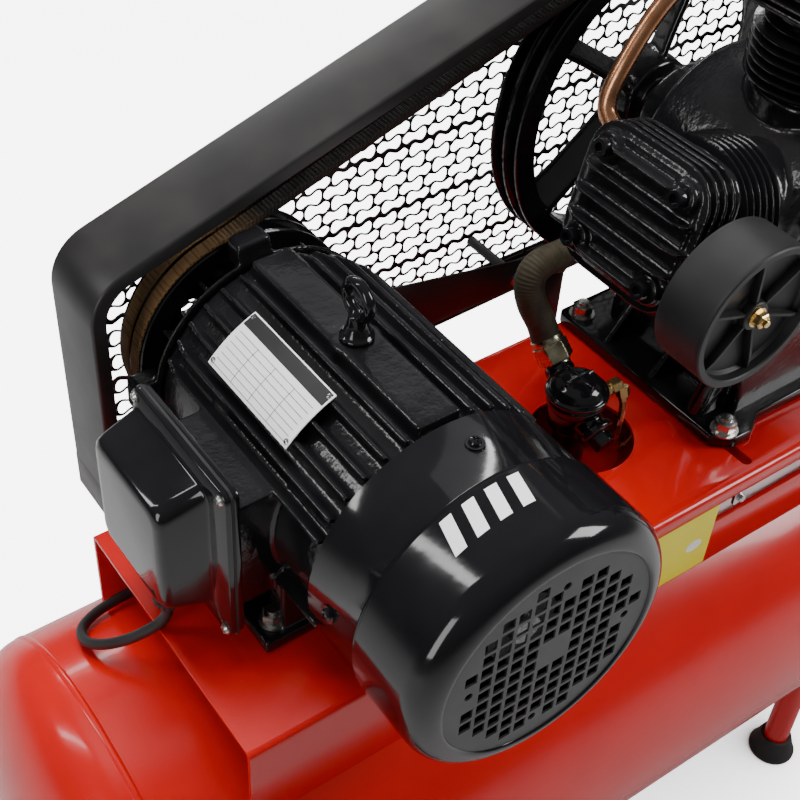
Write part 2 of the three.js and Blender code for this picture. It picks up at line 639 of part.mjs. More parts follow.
// Round dry air filters on the heads' front faces.
const FILTER_RADIUS = 61;
const FILTER_DEPTH = 47;
const FILTER_DROP = { left: 14.5, centre: 0, right: 14.5 };   // below the head's middle
const filterMid = (HEAD_START + HEAD_END) / 2 - 2;
for (const side of ['left', 'centre', 'right']) {
  const front = -HEAD_HALF - 18 - FILTER_DEPTH;
  const r = side === 'left' ? FILTER_RADIUS : 46;
  const can = turned([
    [0, front + 12], [r - 7, front + 12], [r - 7, front], [r, front],
    [r, front + FILTER_DEPTH], [14, front + FILTER_DEPTH], [14, -HEAD_HALF - GAP],
    [0, -HEAD_HALF - GAP],
  ], 'y', [0, 0, 0], 24);
  const lean = rad({ left: CYLINDER_LEAN, centre: 0, right: -CYLINDER_LEAN }[side]);
  const x = CRANK_X - Math.sin(lean) * (filterMid + 3);
  const z = CRANK_Z + Math.cos(lean) * filterMid - FILTER_DROP[side];
  node(`air_filter_${side}`, can.translate(x, CYLINDER_Y[side], z), BLACK_PLASTIC);
}

// ---------------------------------------------------------------- discharge line
const tankTop = (y) => TANK_Z + Math.sqrt(TANK_RADIUS ** 2 - y ** 2);
const VALVE_CAP_Z = PLATE_Z + 58;
node('check_valve', join([
  turned([
    [0, TANK_Z + 180], [VALVE_STEM, TANK_Z + 180], [VALVE_STEM, tankTop(0) + GAP],
    [15, tankTop(0) + GAP], [15, PLATE_Z + 6], [22, PLATE_Z + 10],
    [22, VALVE_CAP_Z - 22], [26, VALVE_CAP_Z - 20], [26, VALVE_CAP_Z - 8], [18, VALVE_CAP_Z],
    [0, VALVE_CAP_Z],
  ], 'z', [...VALVE, 0], 20),
  rod(14, VALVE[1] - 44, VALVE[1], 'y', [VALVE[0], 0, PLATE_Z + 24], 6),
  rod(13, 0, 44, 'y', [0, 0, 0], 6).rotateX(rad(33)).rotateZ(-rad(9)).translate(...VALVE, PLATE_Z + 30),
  rod(6.5, VALVE[0], VALVE[0] + 38, 'x', [0, VALVE[1] - 8, PLATE_Z + 40], 6),
]), CAST_IRON);

// Corrugated hose from the left head down to the check valve.
const HOSE_ROUTE = [
  [46, 42.1, PLATE_Z + 54.6], [46.7, 46.3, PLATE_Z + 57.4], [43, 55, PLATE_Z + 70],
  [39, 60, PLATE_Z + 86], [32, 67, PLATE_Z + 105], [30, 72, PLATE_Z + 121],
  [34, 75, PLATE_Z + 133], [45, 76, PLATE_Z + 140], [61, 75, PLATE_Z + 141],
  [75, 71, PLATE_Z + 146], [84, 65, PLATE_Z + 155],
];
node('discharge_hose', tube(HOSE_ROUTE, 13.5, 24, 10), HOSE);

// Thin pipe that vents the delivery line at the pressure switch when the motor stops.
const UNLOADER_Y = 30;
node('unloader_tube', tube([
  [VALVE[0] + 38 + GAP, VALVE[1] - 8, PLATE_Z + 40], [VALVE[0] + 43, VALVE[1] - 8, PLATE_Z + 40],
  [85, -6, PLATE_Z + 34], [84, -12, PLATE_Z + 18], [79, -16, PLATE_Z], [79, -16, PLATE_Z - 20],
  [90, -12, PLATE_Z - 38], [120, 0, PLATE_Z - 46], [200, 24, PLATE_Z - 48],
  [300, UNLOADER_Y, PLATE_Z - 48], [390, UNLOADER_Y, PLATE_Z - 46],
  [412, UNLOADER_Y, PLATE_Z - 36], [416, UNLOADER_Y, PLATE_Z - 14], [416, UNLOADER_Y, PLATE_Z - 4],
], 3, 40, 6), COPPER);

// ---------------------------------------------------------------- belts and guard
// Outline of an open belt round both pulleys, offset outwards from its pitch radii.
function beltPath(small, large, steps, clockwise) {
  const dx = CRANK_X - MOTOR_X;
  const dz = CRANK_Z - MOTOR_Z;
  const run = Math.atan2(dz, dx);
  const wrap = Math.acos((small - large) / Math.hypot(dx, dz));
  const points = [];
  for (let i = 0; i <= steps; i += 1) {
    const t = run + wrap + (2 * (Math.PI - wrap) * i) / steps;
    points.push([MOTOR_X + small * Math.cos(t), MOTOR_Z + small * Math.sin(t)]);
  }
  for (let i = 0; i <= steps; i += 1) {
    const t = run - wrap + (2 * wrap * i) / steps;
    points.push([CRANK_X + large * Math.cos(t), CRANK_Z + large * Math.sin(t)]);
  }
  return clockwise ? points.reverse() : points;
}
function belt(y) {
  const shape = polygon(beltPath(PULLEY_RADIUS, FLYWHEEL_RADIUS, 24, false));
  const hollow = new THREE.Path();
  beltPath(PULLEY_RADIUS - 8, FLYWHEEL_RADIUS - 8, 24, true)
    .forEach(([x, z], i) => (i === 0 ? hollow.moveTo(x, z) : hollow.lineTo(x, z)));
  hollow.closePath();
  shape.holes.push(hollow);
  return plateXZ(shape, y - 5, y + 5);
}
GROOVES_Y.forEach((y, i) => node(i === 0 ? 'belt_front' : 'belt_rear', belt(y), BELT));

// Guard outline: upright left edge, sloping top tangent to an arc round the flywheel, level foot.
function guardOutline(inset) {
  const r = FLYWHEEL_RADIUS + GUARD_CLEARANCE - inset;
  const slope = rad(GUARD_SLOPE);
  const left = GUARD_LEFT + inset;
  const bottom = CRANK_Z - r;
  const corner = 46 - inset;
  const topAt = (x) => CRANK_Z + r / Math.cos(slope) + (x - CRANK_X) * Math.tan(slope);
  const drop = corner * Math.tan((Math.PI / 2 - slope) / 2);
  const along = corner * Math.tan((Math.PI / 2 - slope) / 2);
  const cornerZ = topAt(left) - drop;
  const points = [[left, bottom], [CRANK_X, bottom]];
  const arcSteps = 22;
  for (let i = 1; i <= arcSteps; i += 1) {
    const t = -Math.PI / 2 + (Math.PI + slope) * (i / arcSteps);
    points.push([CRANK_X + r * Math.cos(t), CRANK_Z + r * Math.sin(t)]);
  }
  const turnSteps = 5;
  for (let i = 0; i <= turnSteps; i += 1) {
    const t = Math.PI / 2 + slope + (Math.PI / 2 - slope) * (i / turnSteps);
    points.push([left + corner + corner * Math.cos(t), cornerZ + corner * Math.sin(t)]);
  }
  return points;
}
function guardRing(outset, inset, y0, y1) {
  const shape = polygon(guardOutline(outset));
  const hole = new THREE.Path();
  guardOutline(inset).reverse()
    .forEach(([x, z], i) => (i === 0 ? hole.moveTo(x, z) : hole.lineTo(x, z)));
  hole.closePath();
  shape.holes.push(hole);
  return plateXZ(shape, y0, y1);
}
function guardBand() {
  const [y0, y1] = GUARD_Y;
  const body = join([
    guardRing(0, 2, y0, y1),
    guardRing(0, 13, y0, y0 + 2),
    guardRing(0, 18, y1 - 2, y1),
    box(GUARD_LEFT, GUARD_LEFT + 60, PLATE_HALF_WIDTH + GAP, y1, GUARD_BOTTOM - 35, GUARD_BOTTOM + 3),
  ]);
  return cut(body, [
    box(GUARD_LEFT + 12, CRANK_X - 20, y0 - 1, y1 - 26, GUARD_BOTTOM - 3, GUARD_BOTTOM + 16),
    box(GUARD_LEFT + 3, GUARD_LEFT + 70, PLATE_HALF_WIDTH + 3, y1 - 3, GUARD_BOTTOM - 40, GUARD_BOTTOM - 3),
  ]);
}
node('guard_band', guardBand(), BLACK_SATIN);
node('guard_mesh', plateXZ(polygon(guardOutline(2.6)), GUARD_Y[1] - 4, GUARD_Y[1] - 2.4), BLACK_SATIN);

// Bracket that carries the guard's open side: a tapered plate, two posts and two tie bars.
function guardBracket() {
  const y0 = GUARD_Y[0] - 3;
  const y1 = GUARD_Y[0] - GAP;
  const low = PLATE_Z + 41;
  const plate = plateXZ(polygon([[-96, low], [168, low], [168, low + 18], [-96, low + 72]]), y0, y1);
  const parts = [plate];
  parts.push(box(-96, 168, y0, y1, low, low + 18));
  for (const x of [-90, 140]) {
    parts.push(box(x - 13, x + 13, y0, y1, PLATE_Z - 60, low + 4));
    parts.push(box(x - 13, x + 13, PLATE_HALF_WIDTH + GAP, y1, PLATE_Z - 60, PLATE_Z - 30));
  }
  for (const x of [-60, 90]) {
    parts.push(rod(5, y0, GUARD_Y[1] - 4.3, 'y', [x, 0, low + 12], 12));
  }
  return join(parts);
}
node('guard_bracket', guardBracket(), BLACK_SATIN);

// ---------------------------------------------------------------- controls at the handle end
const MANIFOLD_Z = TANK_Z + TANK_RADIUS;
const PORT_Z = MANIFOLD_Z + 32;
const TAP_X = SWITCH[0] + 30;
const GAUGE_Y = -40;
// Brass block on the receiver with a stem, a gauge port, a ball tap with its hose connector, a
// pressure regulator and a safety valve.
node('manifold', join([
  rod(10, MANIFOLD_Z + GAP, MANIFOLD_Z + 30, 'z', [...SWITCH, 0], 16),
  box(SWITCH[0] - 16, SWITCH[0] + 16, -50, 50, MANIFOLD_Z + 18, MANIFOLD_Z + 46),
  rod(9, SWITCH[0] + 14, SWITCH[0] + 34, 'x', [0, GAUGE_Y, PORT_Z], 6),
  rod(10, SWITCH[0] + 14, TAP_X + 34, 'x', [0, 34, PORT_Z], 12),
  rod(7, PORT_Z, MANIFOLD_Z + 52, 'z', [TAP_X + 14, 34, 0], 12),
  rod(6, TAP_X + 33, TAP_X + 56, 'x', [0, 34, PORT_Z], 12),
  turned([[0, -34], [20, -34], [20, -12], [12, -8], [12, 2], [0, 2]], 'y', [SWITCH[0], -50, PORT_Z], 20),
  ring(3.4, 10, 14, 38, 'x', [SWITCH[0], 0, PORT_Z], 12),
]), BRASS);
node('pressure_switch', cut(join([
  box(SWITCH[0] - 32, SWITCH[0] + 26, -42, 42, MANIFOLD_Z + 46 + GAP, MANIFOLD_Z + 62),
  box(SWITCH[0] - 28, SWITCH[0] + 22, -38, 38, MANIFOLD_Z + 60, MANIFOLD_Z + 118),
  rod(9, 36, 50, 'y', [SWITCH[0], 0, SWITCH_GLAND_Z], 12),
  rod(9, -50, -36, 'y', [SWITCH[0] - 10, 0, SWITCH_GLAND_Z], 12),
]), [rod(5, MANIFOLD_Z + 100, MANIFOLD_Z + 130, 'z', [...SWITCH, 0], 12)]), BLACK_PLASTIC);
node('switch_knob', turned([
  [0, -14], [4.6, -14], [4.6, 4], [6, 4], [6, 12], [14, 14], [15, 24], [12, 28], [0, 28],
], 'z', [...SWITCH, MANIFOLD_Z + 118], 12), REDCAP);
node('regulator_knob', turned([
  [0, 0], [14, 0], [18, 6], [18, 26], [16, 30], [0, 30],
], 'y', [SWITCH[0], -84 - GAP - 30, PORT_Z], 12), BLACK_PLASTIC);
node('pressure_gauge', turned([
  [0, 0], [5, 0], [5, 12], [26, 12], [26, 26], [24, 26], [24, 16], [0, 16],
], 'x', [SWITCH[0] + 34 + GAP, GAUGE_Y, PORT_Z], 28), BLACK_PLASTIC);
node('gauge_needle', join([
  box(SWITCH[0] + 51, SWITCH[0] + 52.4, -1, 1, -6, 18).rotateX(rad(135)).translate(0, GAUGE_Y, PORT_Z),
  rod(3, SWITCH[0] + 51, SWITCH[0] + 53.4, 'x', [0, GAUGE_Y, PORT_Z], 12),
]), REDCAP);
node('outlet_lever', join([
  rod(8, MANIFOLD_Z + 52 + GAP, MANIFOLD_Z + 57, 'z', [TAP_X + 14, 34, 0], 12),
  box(TAP_X + 10, TAP_X + 62, 29, 39, MANIFOLD_Z + 54, MANIFOLD_Z + 57),
]), REDCAP);
node('safety_ring', join([
  rod(3, 20, 43, 'x', [SWITCH[0], 0, PORT_Z], 10),
  new THREE.TorusGeometry(8, 1.8, 6, 16).rotateX(Math.PI / 2).translate(SWITCH[0] + 50, 0, PORT_Z),
]), STEEL);

// Drain under the receiver.
const DRAIN_X = 60;
node('drain_valve', turned([
  [3.2, 0], [9, 0], [9, 14], [6, 16], [6, 26], [3.2, 26], [3.2, 0],
], 'z', [DRAIN_X, 0, TANK_Z - TANK_RADIUS - 26 - GAP], 12), BRASS);
node('drain_tap', join([
  rod(3, 0, 22, 'z', [DRAIN_X, 0, TANK_Z - TANK_RADIUS - 40], 10),
  box(DRAIN_X - 14, DRAIN_X + 14, -3, 3, TANK_Z - TANK_RADIUS - 44, TANK_Z - TANK_RADIUS - 36),
]), BRASS);

// Move the machine so that the origin is on the ground under the middle of its box.
const extent = new THREE.Box3().setFromObject(machine);
const middle = extent.getCenter(new THREE.Vector3());
machine.position.set(-middle.x, -middle.y, -extent.min.z);
machine.updateMatrixWorld(true);

export default machine;
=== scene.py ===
# %% [markdown]
# # A belt-driven air compressor on wheels
# This notebook dresses a workshop air compressor: an electric motor drives a three-cylinder pump
# through two V-belts, and both stand on a red platform over a red receiver. The solids of the
# machine already exist as a frame with joints. Each cell adds the visible form of one piece, in the
# place that the frame gives, so the machine looks right and still moves.

# %% Load the frame
import json
import math
import random

import bmesh
import bpy
import numpy as np
from mathutils import Matrix, Vector


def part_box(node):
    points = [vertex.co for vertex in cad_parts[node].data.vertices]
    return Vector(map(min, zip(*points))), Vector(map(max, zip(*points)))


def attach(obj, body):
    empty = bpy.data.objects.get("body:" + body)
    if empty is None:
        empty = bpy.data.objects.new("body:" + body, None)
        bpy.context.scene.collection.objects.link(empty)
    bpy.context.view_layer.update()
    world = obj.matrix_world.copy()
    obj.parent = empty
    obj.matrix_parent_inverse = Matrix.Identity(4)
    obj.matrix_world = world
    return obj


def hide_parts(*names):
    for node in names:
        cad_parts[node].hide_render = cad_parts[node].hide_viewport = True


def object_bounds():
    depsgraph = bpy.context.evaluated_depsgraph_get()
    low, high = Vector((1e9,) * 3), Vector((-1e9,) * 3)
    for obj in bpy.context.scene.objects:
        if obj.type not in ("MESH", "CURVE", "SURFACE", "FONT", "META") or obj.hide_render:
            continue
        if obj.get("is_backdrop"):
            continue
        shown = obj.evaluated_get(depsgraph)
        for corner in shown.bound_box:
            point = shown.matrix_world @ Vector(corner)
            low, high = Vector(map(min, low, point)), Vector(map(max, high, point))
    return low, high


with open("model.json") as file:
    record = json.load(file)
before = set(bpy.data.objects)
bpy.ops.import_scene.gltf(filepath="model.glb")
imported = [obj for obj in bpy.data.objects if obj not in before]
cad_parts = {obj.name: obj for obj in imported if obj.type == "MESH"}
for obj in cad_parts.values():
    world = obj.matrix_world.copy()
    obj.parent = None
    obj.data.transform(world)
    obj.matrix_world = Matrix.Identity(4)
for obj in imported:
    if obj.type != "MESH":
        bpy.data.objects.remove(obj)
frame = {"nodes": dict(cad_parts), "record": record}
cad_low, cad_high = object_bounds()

scene = bpy.context.scene
nodes = frame["nodes"]

# %% [markdown]
# A machine is easiest to lay out in millimetres from its own datum. Here the datum is the middle of
# the receiver at ground level, and a single function turns such a layout into the frame's metres.
# The main axes come from the solids' boxes, so the dressing follows the solids if they change.

# %% Datum and main axes
def middle(node):
    low, high = (Vector(corner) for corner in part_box(node))
    return (low + high) / 2


def span(node):
    low, high = (Vector(corner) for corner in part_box(node))
    return (low - DATUM) * 1000, (high - DATUM) * 1000


DATUM = Vector((middle("tank_shell").x, middle("tank_shell").y, 0.0))
PLATE = span("platform")[1].z
MOTOR_X, _, MOTOR_Z = (middle("motor_pulley") - DATUM) * 1000
CRANK_X, _, CRANK_Z = (middle("flywheel") - DATUM) * 1000
TANK_Z = (middle("tank_shell").z - DATUM.z) * 1000
TANK_R = (span("tank_shell")[1].z - span("tank_shell")[0].z) / 2
print("platform top", round(PLATE), "motor axis", round(MOTOR_X), round(MOTOR_Z),
      "crank axis", round(CRANK_X), round(CRANK_Z), "receiver", round(TANK_R))

# %% [markdown]
# ## Camera, light and floor
# A long lens from the front left and well above looks down on the motor. Black gloss paint shows
# nothing but what it mirrors, so the light matters more than the paint. The large box overhead is
# hidden from reflections, so it only brightens the surfaces. Narrow strips and smaller boxes are
# what the gloss mirrors, and a dim surround keeps the blacks deep. The floor is plain and pale.

# %% Camera
LENS = 62.78
LENS_SHIFT = (0.1076, -0.0493)
CAMERA_SPOT = Vector((-650.0, -607.0, PLATE + 885.0))
AZIMUTH, ELEVATION, ROLL = (math.radians(a) for a in (33.888, 42.121, 0.842))

ahead = Vector((math.sin(AZIMUTH) * math.cos(ELEVATION), math.cos(AZIMUTH) * math.cos(ELEVATION),
                -math.sin(ELEVATION)))
level = Vector((math.cos(AZIMUTH), -math.sin(AZIMUTH), 0.0))
upward = level.cross(ahead)
right = math.cos(ROLL) * level + math.sin(ROLL) * upward
upward = right.cross(ahead)

camera_data = bpy.data.cameras.new("camera")
camera_data.lens = LENS
camera_data.sensor_width = 36.0
camera_data.shift_x, camera_data.shift_y = LENS_SHIFT
camera_data.clip_start = 0.05
camera_data.clip_end = 60.0
camera = bpy.data.objects.new("camera", camera_data)
scene.collection.objects.link(camera)
turn = Matrix((right, upward, -ahead)).transposed()
camera.matrix_world = Matrix.Translation(CAMERA_SPOT * 0.001 + DATUM) @ turn.to_4x4()
scene.camera = camera
print("camera", [round(v, 3) for v in camera.location])

# %% Lights
def soft_box(name, spot, target, width, height, power, colour=(1.0, 1.0, 1.0)):
    data = bpy.data.lights.new(name, "AREA")
    data.shape = "RECTANGLE"
    data.size, data.size_y = width, height
    data.energy = power
    data.color = colour
    lamp = bpy.data.objects.new(name, data)
    scene.collection.objects.link(lamp)
    lamp.location = spot
    way = Vector(target) - Vector(spot)
    lamp.rotation_mode = "QUATERNION"
    lamp.rotation_quaternion = way.to_track_quat("-Z", "Y")
    return lamp


soft_box("overhead_box", (0.1, 0.7, 2.9), (0.0, 0.0, 0.6), 2.4, 1.8, 118).visible_glossy = False
soft_box("sky_panel", (1.4, 3.0, 2.7), (0.0, 0.0, 0.6), 3.2, 2.2, 9)
soft_box("back_strip", (1.1, 2.9, 2.1), (0.0, 0.0, 0.7), 2.6, 0.22, 22)
soft_box("left_strip", (-2.2, 1.4, 2.6), (-0.2, 0.0, 0.7), 0.2, 1.8, 14)
soft_box("window_box", (1.9, -1.5, 2.1), (0.0, 0.0, 0.7), 0.9, 1.4, 46)
soft_box("fill_box", (-2.6, -0.6, 1.3), (-0.2, 0.0, 0.5), 0.7, 1.4, 16)

SKY_LOW, SKY_HIGH = (0.10, 0.10, 0.102, 1), (0.20, 0.20, 0.20, 1)
world = bpy.data.worlds.new("surround")
scene.world = world
world.use_nodes = True
sky = world.node_tree
sky.nodes.clear()
out = sky.nodes.new("ShaderNodeOutputWorld")
glow = sky.nodes.new("ShaderNodeBackground")
ramp = sky.nodes.new("ShaderNodeValToRGB")
split = sky.nodes.new("ShaderNodeSeparateXYZ")
where = sky.nodes.new("ShaderNodeTexCoord")
ramp.color_ramp.elements[0].position = 0.0
ramp.color_ramp.elements[0].color = SKY_LOW
ramp.color_ramp.elements[1].position = 0.75
ramp.color_ramp.elements[1].color = SKY_HIGH
sky.links.new(where.outputs["Generated"], split.inputs[0])
sky.links.new(split.outputs["Z"], ramp.inputs["Fac"])
sky.links.new(ramp.outputs["Color"], glow.inputs["Color"])
glow.inputs["Strength"].default_value = 1.0
sky.links.new(glow.outputs[0], out.inputs["Surface"])

# %% [markdown]
# ## Tools for making shapes
# Every shape here is a list of points and a list of faces. Four ways of making one cover nearly
# all machine parts: turning a profile round an axis, extruding an outline, lofting through
# sections, and drawing a round section along a path. Shapes are joined by putting the lists
# together.

# %% Shape builders
AXES = {"x": 0, "y": 1, "z": 2}


def together(*shapes):
    points, faces = [], []
    for some_points, some_faces in shapes:
        start = len(points)
        points.extend(some_points)
        faces.extend([tuple(i + start for i in face) for face in some_faces])
    return points, faces


def moved(shape, dx=0.0, dy=0.0, dz=0.0):
    return [(x + dx, y + dy, z + dz) for x, y, z in shape[0]], shape[1]


def rotated(shape, degrees, axis, about=(0.0, 0.0, 0.0)):
    turn = Matrix.Rotation(math.radians(degrees), 3, axis.upper())
    about = Vector(about)
    return [tuple(turn @ (Vector(p) - about) + about) for p in shape[0]], shape[1]


def revolve(profile, axis="y", at=(0.0, 0.0, 0.0), steps=64):
    """Turns (radius, distance) corners round an axis; ends at radius 0 or on its own start."""
    a = AXES[axis]
    u, v = [i for i in range(3) if i != a]
    closed = profile[0] == profile[-1]
    corners = profile[:-1] if closed else profile
    points, faces = [], []
    for i in range(steps):
        t = 2 * math.pi * i / steps
        for radius, far in corners:
            p = list(at)
            p[a] += far
            p[u] += radius * math.cos(t)
            p[v] += radius * math.sin(t)
            points.append(tuple(p))
    n = len(corners)
    for i in range(steps):
        j = (i + 1) % steps
        for k in range(n if closed else n - 1):
            m = (k + 1) % n
            faces.append((i * n + k, i * n + m, j * n + m, j * n + k))
    return points, faces


def loft(rings, caps=True, closed=False):
    n = len(rings[0])
    points = [tuple(p) for ring in rings for p in ring]
    faces = []
    last = len(rings) if closed else len(rings) - 1
    for i in range(last):
        j = (i + 1) % len(rings)
        for k in range(n):
            m = (k + 1) % n
            faces.append((i * n + k, i * n + m, j * n + m, j * n + k))
    if caps and not closed:
        faces.append(tuple(range(n)))
        faces.append(tuple((len(rings) - 1) * n + k for k in reversed(range(n))))
    return points, faces


def in_plane(outline, level, plane):
    if plane == "xz":
        return [(a, level, b) for a, b in outline]
    if plane == "yz":
        return [(level, a, b) for a, b in outline]
    return [(a, b, level) for a, b in outline]


def prism(outline, low, high, plane="xz"):
    return loft([in_plane(outline, low, plane), in_plane(outline, high, plane)])


def block(x0, x1, y0, y1, z0, z1):
    return prism([(x0, z0), (x1, z0), (x1, z1), (x0, z1)], y0, y1)


def round_rect(half_a, half_b, radius, centre=(0.0, 0.0), steps=5):
    outline = []
    for quarter, (sa, sb) in enumerate(((1, 1), (-1, 1), (-1, -1), (1, -1))):
        for i in range(steps + 1):
            t = math.pi / 2 * (quarter + i / steps)
            outline.append((centre[0] + sa * (half_a - radius) + radius * math.cos(t),
                            centre[1] + sb * (half_b - radius) + radius * math.sin(t)))
    return outline


def disc_outline(radius, centre=(0.0, 0.0), steps=32):
    return [(centre[0] + radius * math.cos(2 * math.pi * i / steps),
             centre[1] + radius * math.sin(2 * math.pi * i / steps)) for i in range(steps)]


def rod(radius, low, high, axis="y", at=(0.0, 0.0, 0.0), steps=32, chamfer=0.0):
    c = chamfer
    profile = [(0, low), (radius - c, low), (radius, low + c), (radius, high - c),
               (radius - c, high), (0, high)]
    return revolve(profile, axis, at, steps)

# %% [markdown]
# Pipes, hoses and leads follow a smooth curve through a few points. A centripetal spline never
# loops back between uneven points. Along it, each section keeps the last one's bearing, turned
# only as much as the path turns, so that a corrugated or ribbed tube doesn't twist.

# %% Paths and tubes
def through(points, count):
    """That many points, evenly spaced, on a centripetal curve through the given points."""
    ps = [Vector(p) for p in points]
    ps = [2 * ps[0] - ps[1]] + ps + [2 * ps[-1] - ps[-2]]
    fine = []
    for i in range(1, len(ps) - 2):
        knots = [0.0]
        for j in range(3):
            knots.append(knots[-1] + max((ps[i + j] - ps[i + j - 1]).length, 1e-6) ** 0.5)
        t0, t1, t2, t3 = knots
        for s in range(24):
            t = t1 + (t2 - t1) * s / 24
            a1 = ps[i - 1] * ((t1 - t) / (t1 - t0)) + ps[i] * ((t - t0) / (t1 - t0))
            a2 = ps[i] * ((t2 - t) / (t2 - t1)) + ps[i + 1] * ((t - t1) / (t2 - t1))
            a3 = ps[i + 1] * ((t3 - t) / (t3 - t2)) + ps[i + 2] * ((t - t2) / (t3 - t2))
            b1 = a1 * ((t2 - t) / (t2 - t0)) + a2 * ((t - t0) / (t2 - t0))
            b2 = a2 * ((t3 - t) / (t3 - t1)) + a3 * ((t - t1) / (t3 - t1))
            fine.append(b1 * ((t2 - t) / (t2 - t1)) + b2 * ((t - t1) / (t2 - t1)))
    fine.append(ps[-2])
    far = [0.0]
    for p, q in zip(fine, fine[1:]):
        far.append(far[-1] + (q - p).length)
    even = []
    k = 0
    for i in range(count):
        want = far[-1] * i / (count - 1)
        while k < len(far) - 2 and far[k + 1] < want:
            k += 1
        share = (want - far[k]) / max(far[k + 1] - far[k], 1e-9)
        even.append(fine[k].lerp(fine[k + 1], min(max(share, 0.0), 1.0)))
    return even


def tube(path, radius, sides=14):
    """A round bar along a path; radius is a number or says it from the distance along the path."""
    path = [Vector(p) for p in path]
    heading = (path[1] - path[0]).normalized()
    side = heading.orthogonal().normalized()
    rings = []
    far = 0.0
    for i, p in enumerate(path):
        if i:
            far += (p - path[i - 1]).length
        ahead_now = (path[min(i + 1, len(path) - 1)] - path[max(i - 1, 0)]).normalized()
        side = (side - ahead_now * side.dot(ahead_now)).normalized()
        up = ahead_now.cross(side)
        r = radius(far) if callable(radius) else radius
        rings.append([p + r * (math.cos(2 * math.pi * k / sides) * side
                               + math.sin(2 * math.pi * k / sides) * up) for k in range(sides)])
    return loft(rings)

# %% [markdown]
# Castings need rounded inner corners that no bevel gives where many shapes meet. A voxel remesh
# fuses the overlapping shapes into one skin, and a few passes of smoothing round every corner the
# way sand moulds and thick paint do. Turned and pressed parts keep crisp forms with a small bevel.

# %% Making a piece
def settle(obj):
    """Applies the piece's modifiers to its mesh."""
    graph = bpy.context.evaluated_depsgraph_get()
    graph.update()
    baked = bpy.data.meshes.new_from_object(obj.evaluated_get(graph))
    old = obj.data
    obj.modifiers.clear()
    obj.data = baked
    bpy.data.meshes.remove(old)


def raw_object(name, shape):
    mesh = bpy.data.meshes.new(name)
    points = np.asarray([tuple(p) for p in shape[0]], float) * 0.001 + np.array(DATUM)
    mesh.from_pydata(points.tolist(), [], [tuple(f) for f in shape[1]])
    work = bmesh.new()
    work.from_mesh(mesh)
    bmesh.ops.remove_doubles(work, verts=work.verts, dist=2e-6)
    bmesh.ops.dissolve_degenerate(work, edges=work.edges, dist=1e-7)
    bmesh.ops.recalc_face_normals(work, faces=work.faces)
    work.to_mesh(mesh)
    work.free()
    obj = bpy.data.objects.new(name, mesh)
    scene.collection.objects.link(obj)
    return obj


def piece(name, shape, finish, body="base", hides=(), bevel=0.0, rings=2, cuts=None,
          cast=0.0, soften=3, sharp=34.0):
    """Builds one piece: cuts in mm shapes, cast is a voxel size in mm, bevel a width in mm."""
    obj = raw_object(name, shape)
    if cast:
        skin = obj.modifiers.new("skin", "REMESH")
        skin.mode = "VOXEL"
        skin.voxel_size = cast * 0.001
        settle(obj)
    if cuts:
        cutter = raw_object(name + "_cutter", cuts)
        hole = obj.modifiers.new("cut", "BOOLEAN")
        hole.operation = "DIFFERENCE"
        hole.solver = "EXACT"
        hole.use_self = True
        hole.object = cutter
        settle(obj)
        bpy.data.objects.remove(cutter)
    if cast and soften:
        relax = obj.modifiers.new("soften", "SMOOTH")
        relax.factor = 0.5
        relax.iterations = soften
        settle(obj)
    if bevel:
        edge = obj.modifiers.new("edge", "BEVEL")
        edge.width = bevel * 0.001
        edge.segments = rings
        edge.limit_method = "ANGLE"
        edge.angle_limit = math.radians(32)
        edge.use_clamp_overlap = True
        settle(obj)
    obj.data.shade_smooth()
    if not cast:
        obj.data.set_sharp_from_angle(angle=math.radians(sharp))
    obj.data.materials.clear()
    obj.data.materials.append(finish)
    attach(obj, body)
    if hides:
        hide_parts(*([hides] if isinstance(hides, str) else hides))
    return obj

# %% [markdown]
# ## Finishes
# No real surface is one flat colour. Each finish mixes a slightly darker and a slightly lighter
# tone by a soft noise, lets its roughness wander a little, and adds one or two layers of fine
# relief: orange peel on sprayed enamel, pebbles on a painted casting, grain on moulded plastic.
# All the noise is in the piece's own space, so it stays put when the piece moves.

# %% A finish from tones, roughness and relief
def link_noise(tree, spot, size_mm, detail=3.0, rough=0.5):
    noise = tree.nodes.new("ShaderNodeTexNoise")
    noise.inputs["Scale"].default_value = 1000.0 / size_mm
    noise.inputs["Detail"].default_value = detail
    noise.inputs["Roughness"].default_value = rough
    tree.links.new(spot, noise.inputs["Vector"])
    return noise.outputs["Fac"]


def tones(tree, fac, low, high, start=0.3, end=0.7):
    ramp = tree.nodes.new("ShaderNodeValToRGB")
    ramp.color_ramp.elements[0].position = start
    ramp.color_ramp.elements[0].color = (*low, 1.0)
    ramp.color_ramp.elements[1].position = end
    ramp.color_ramp.elements[1].color = (*high, 1.0)
    tree.links.new(fac, ramp.inputs["Fac"])
    return ramp.outputs["Color"]


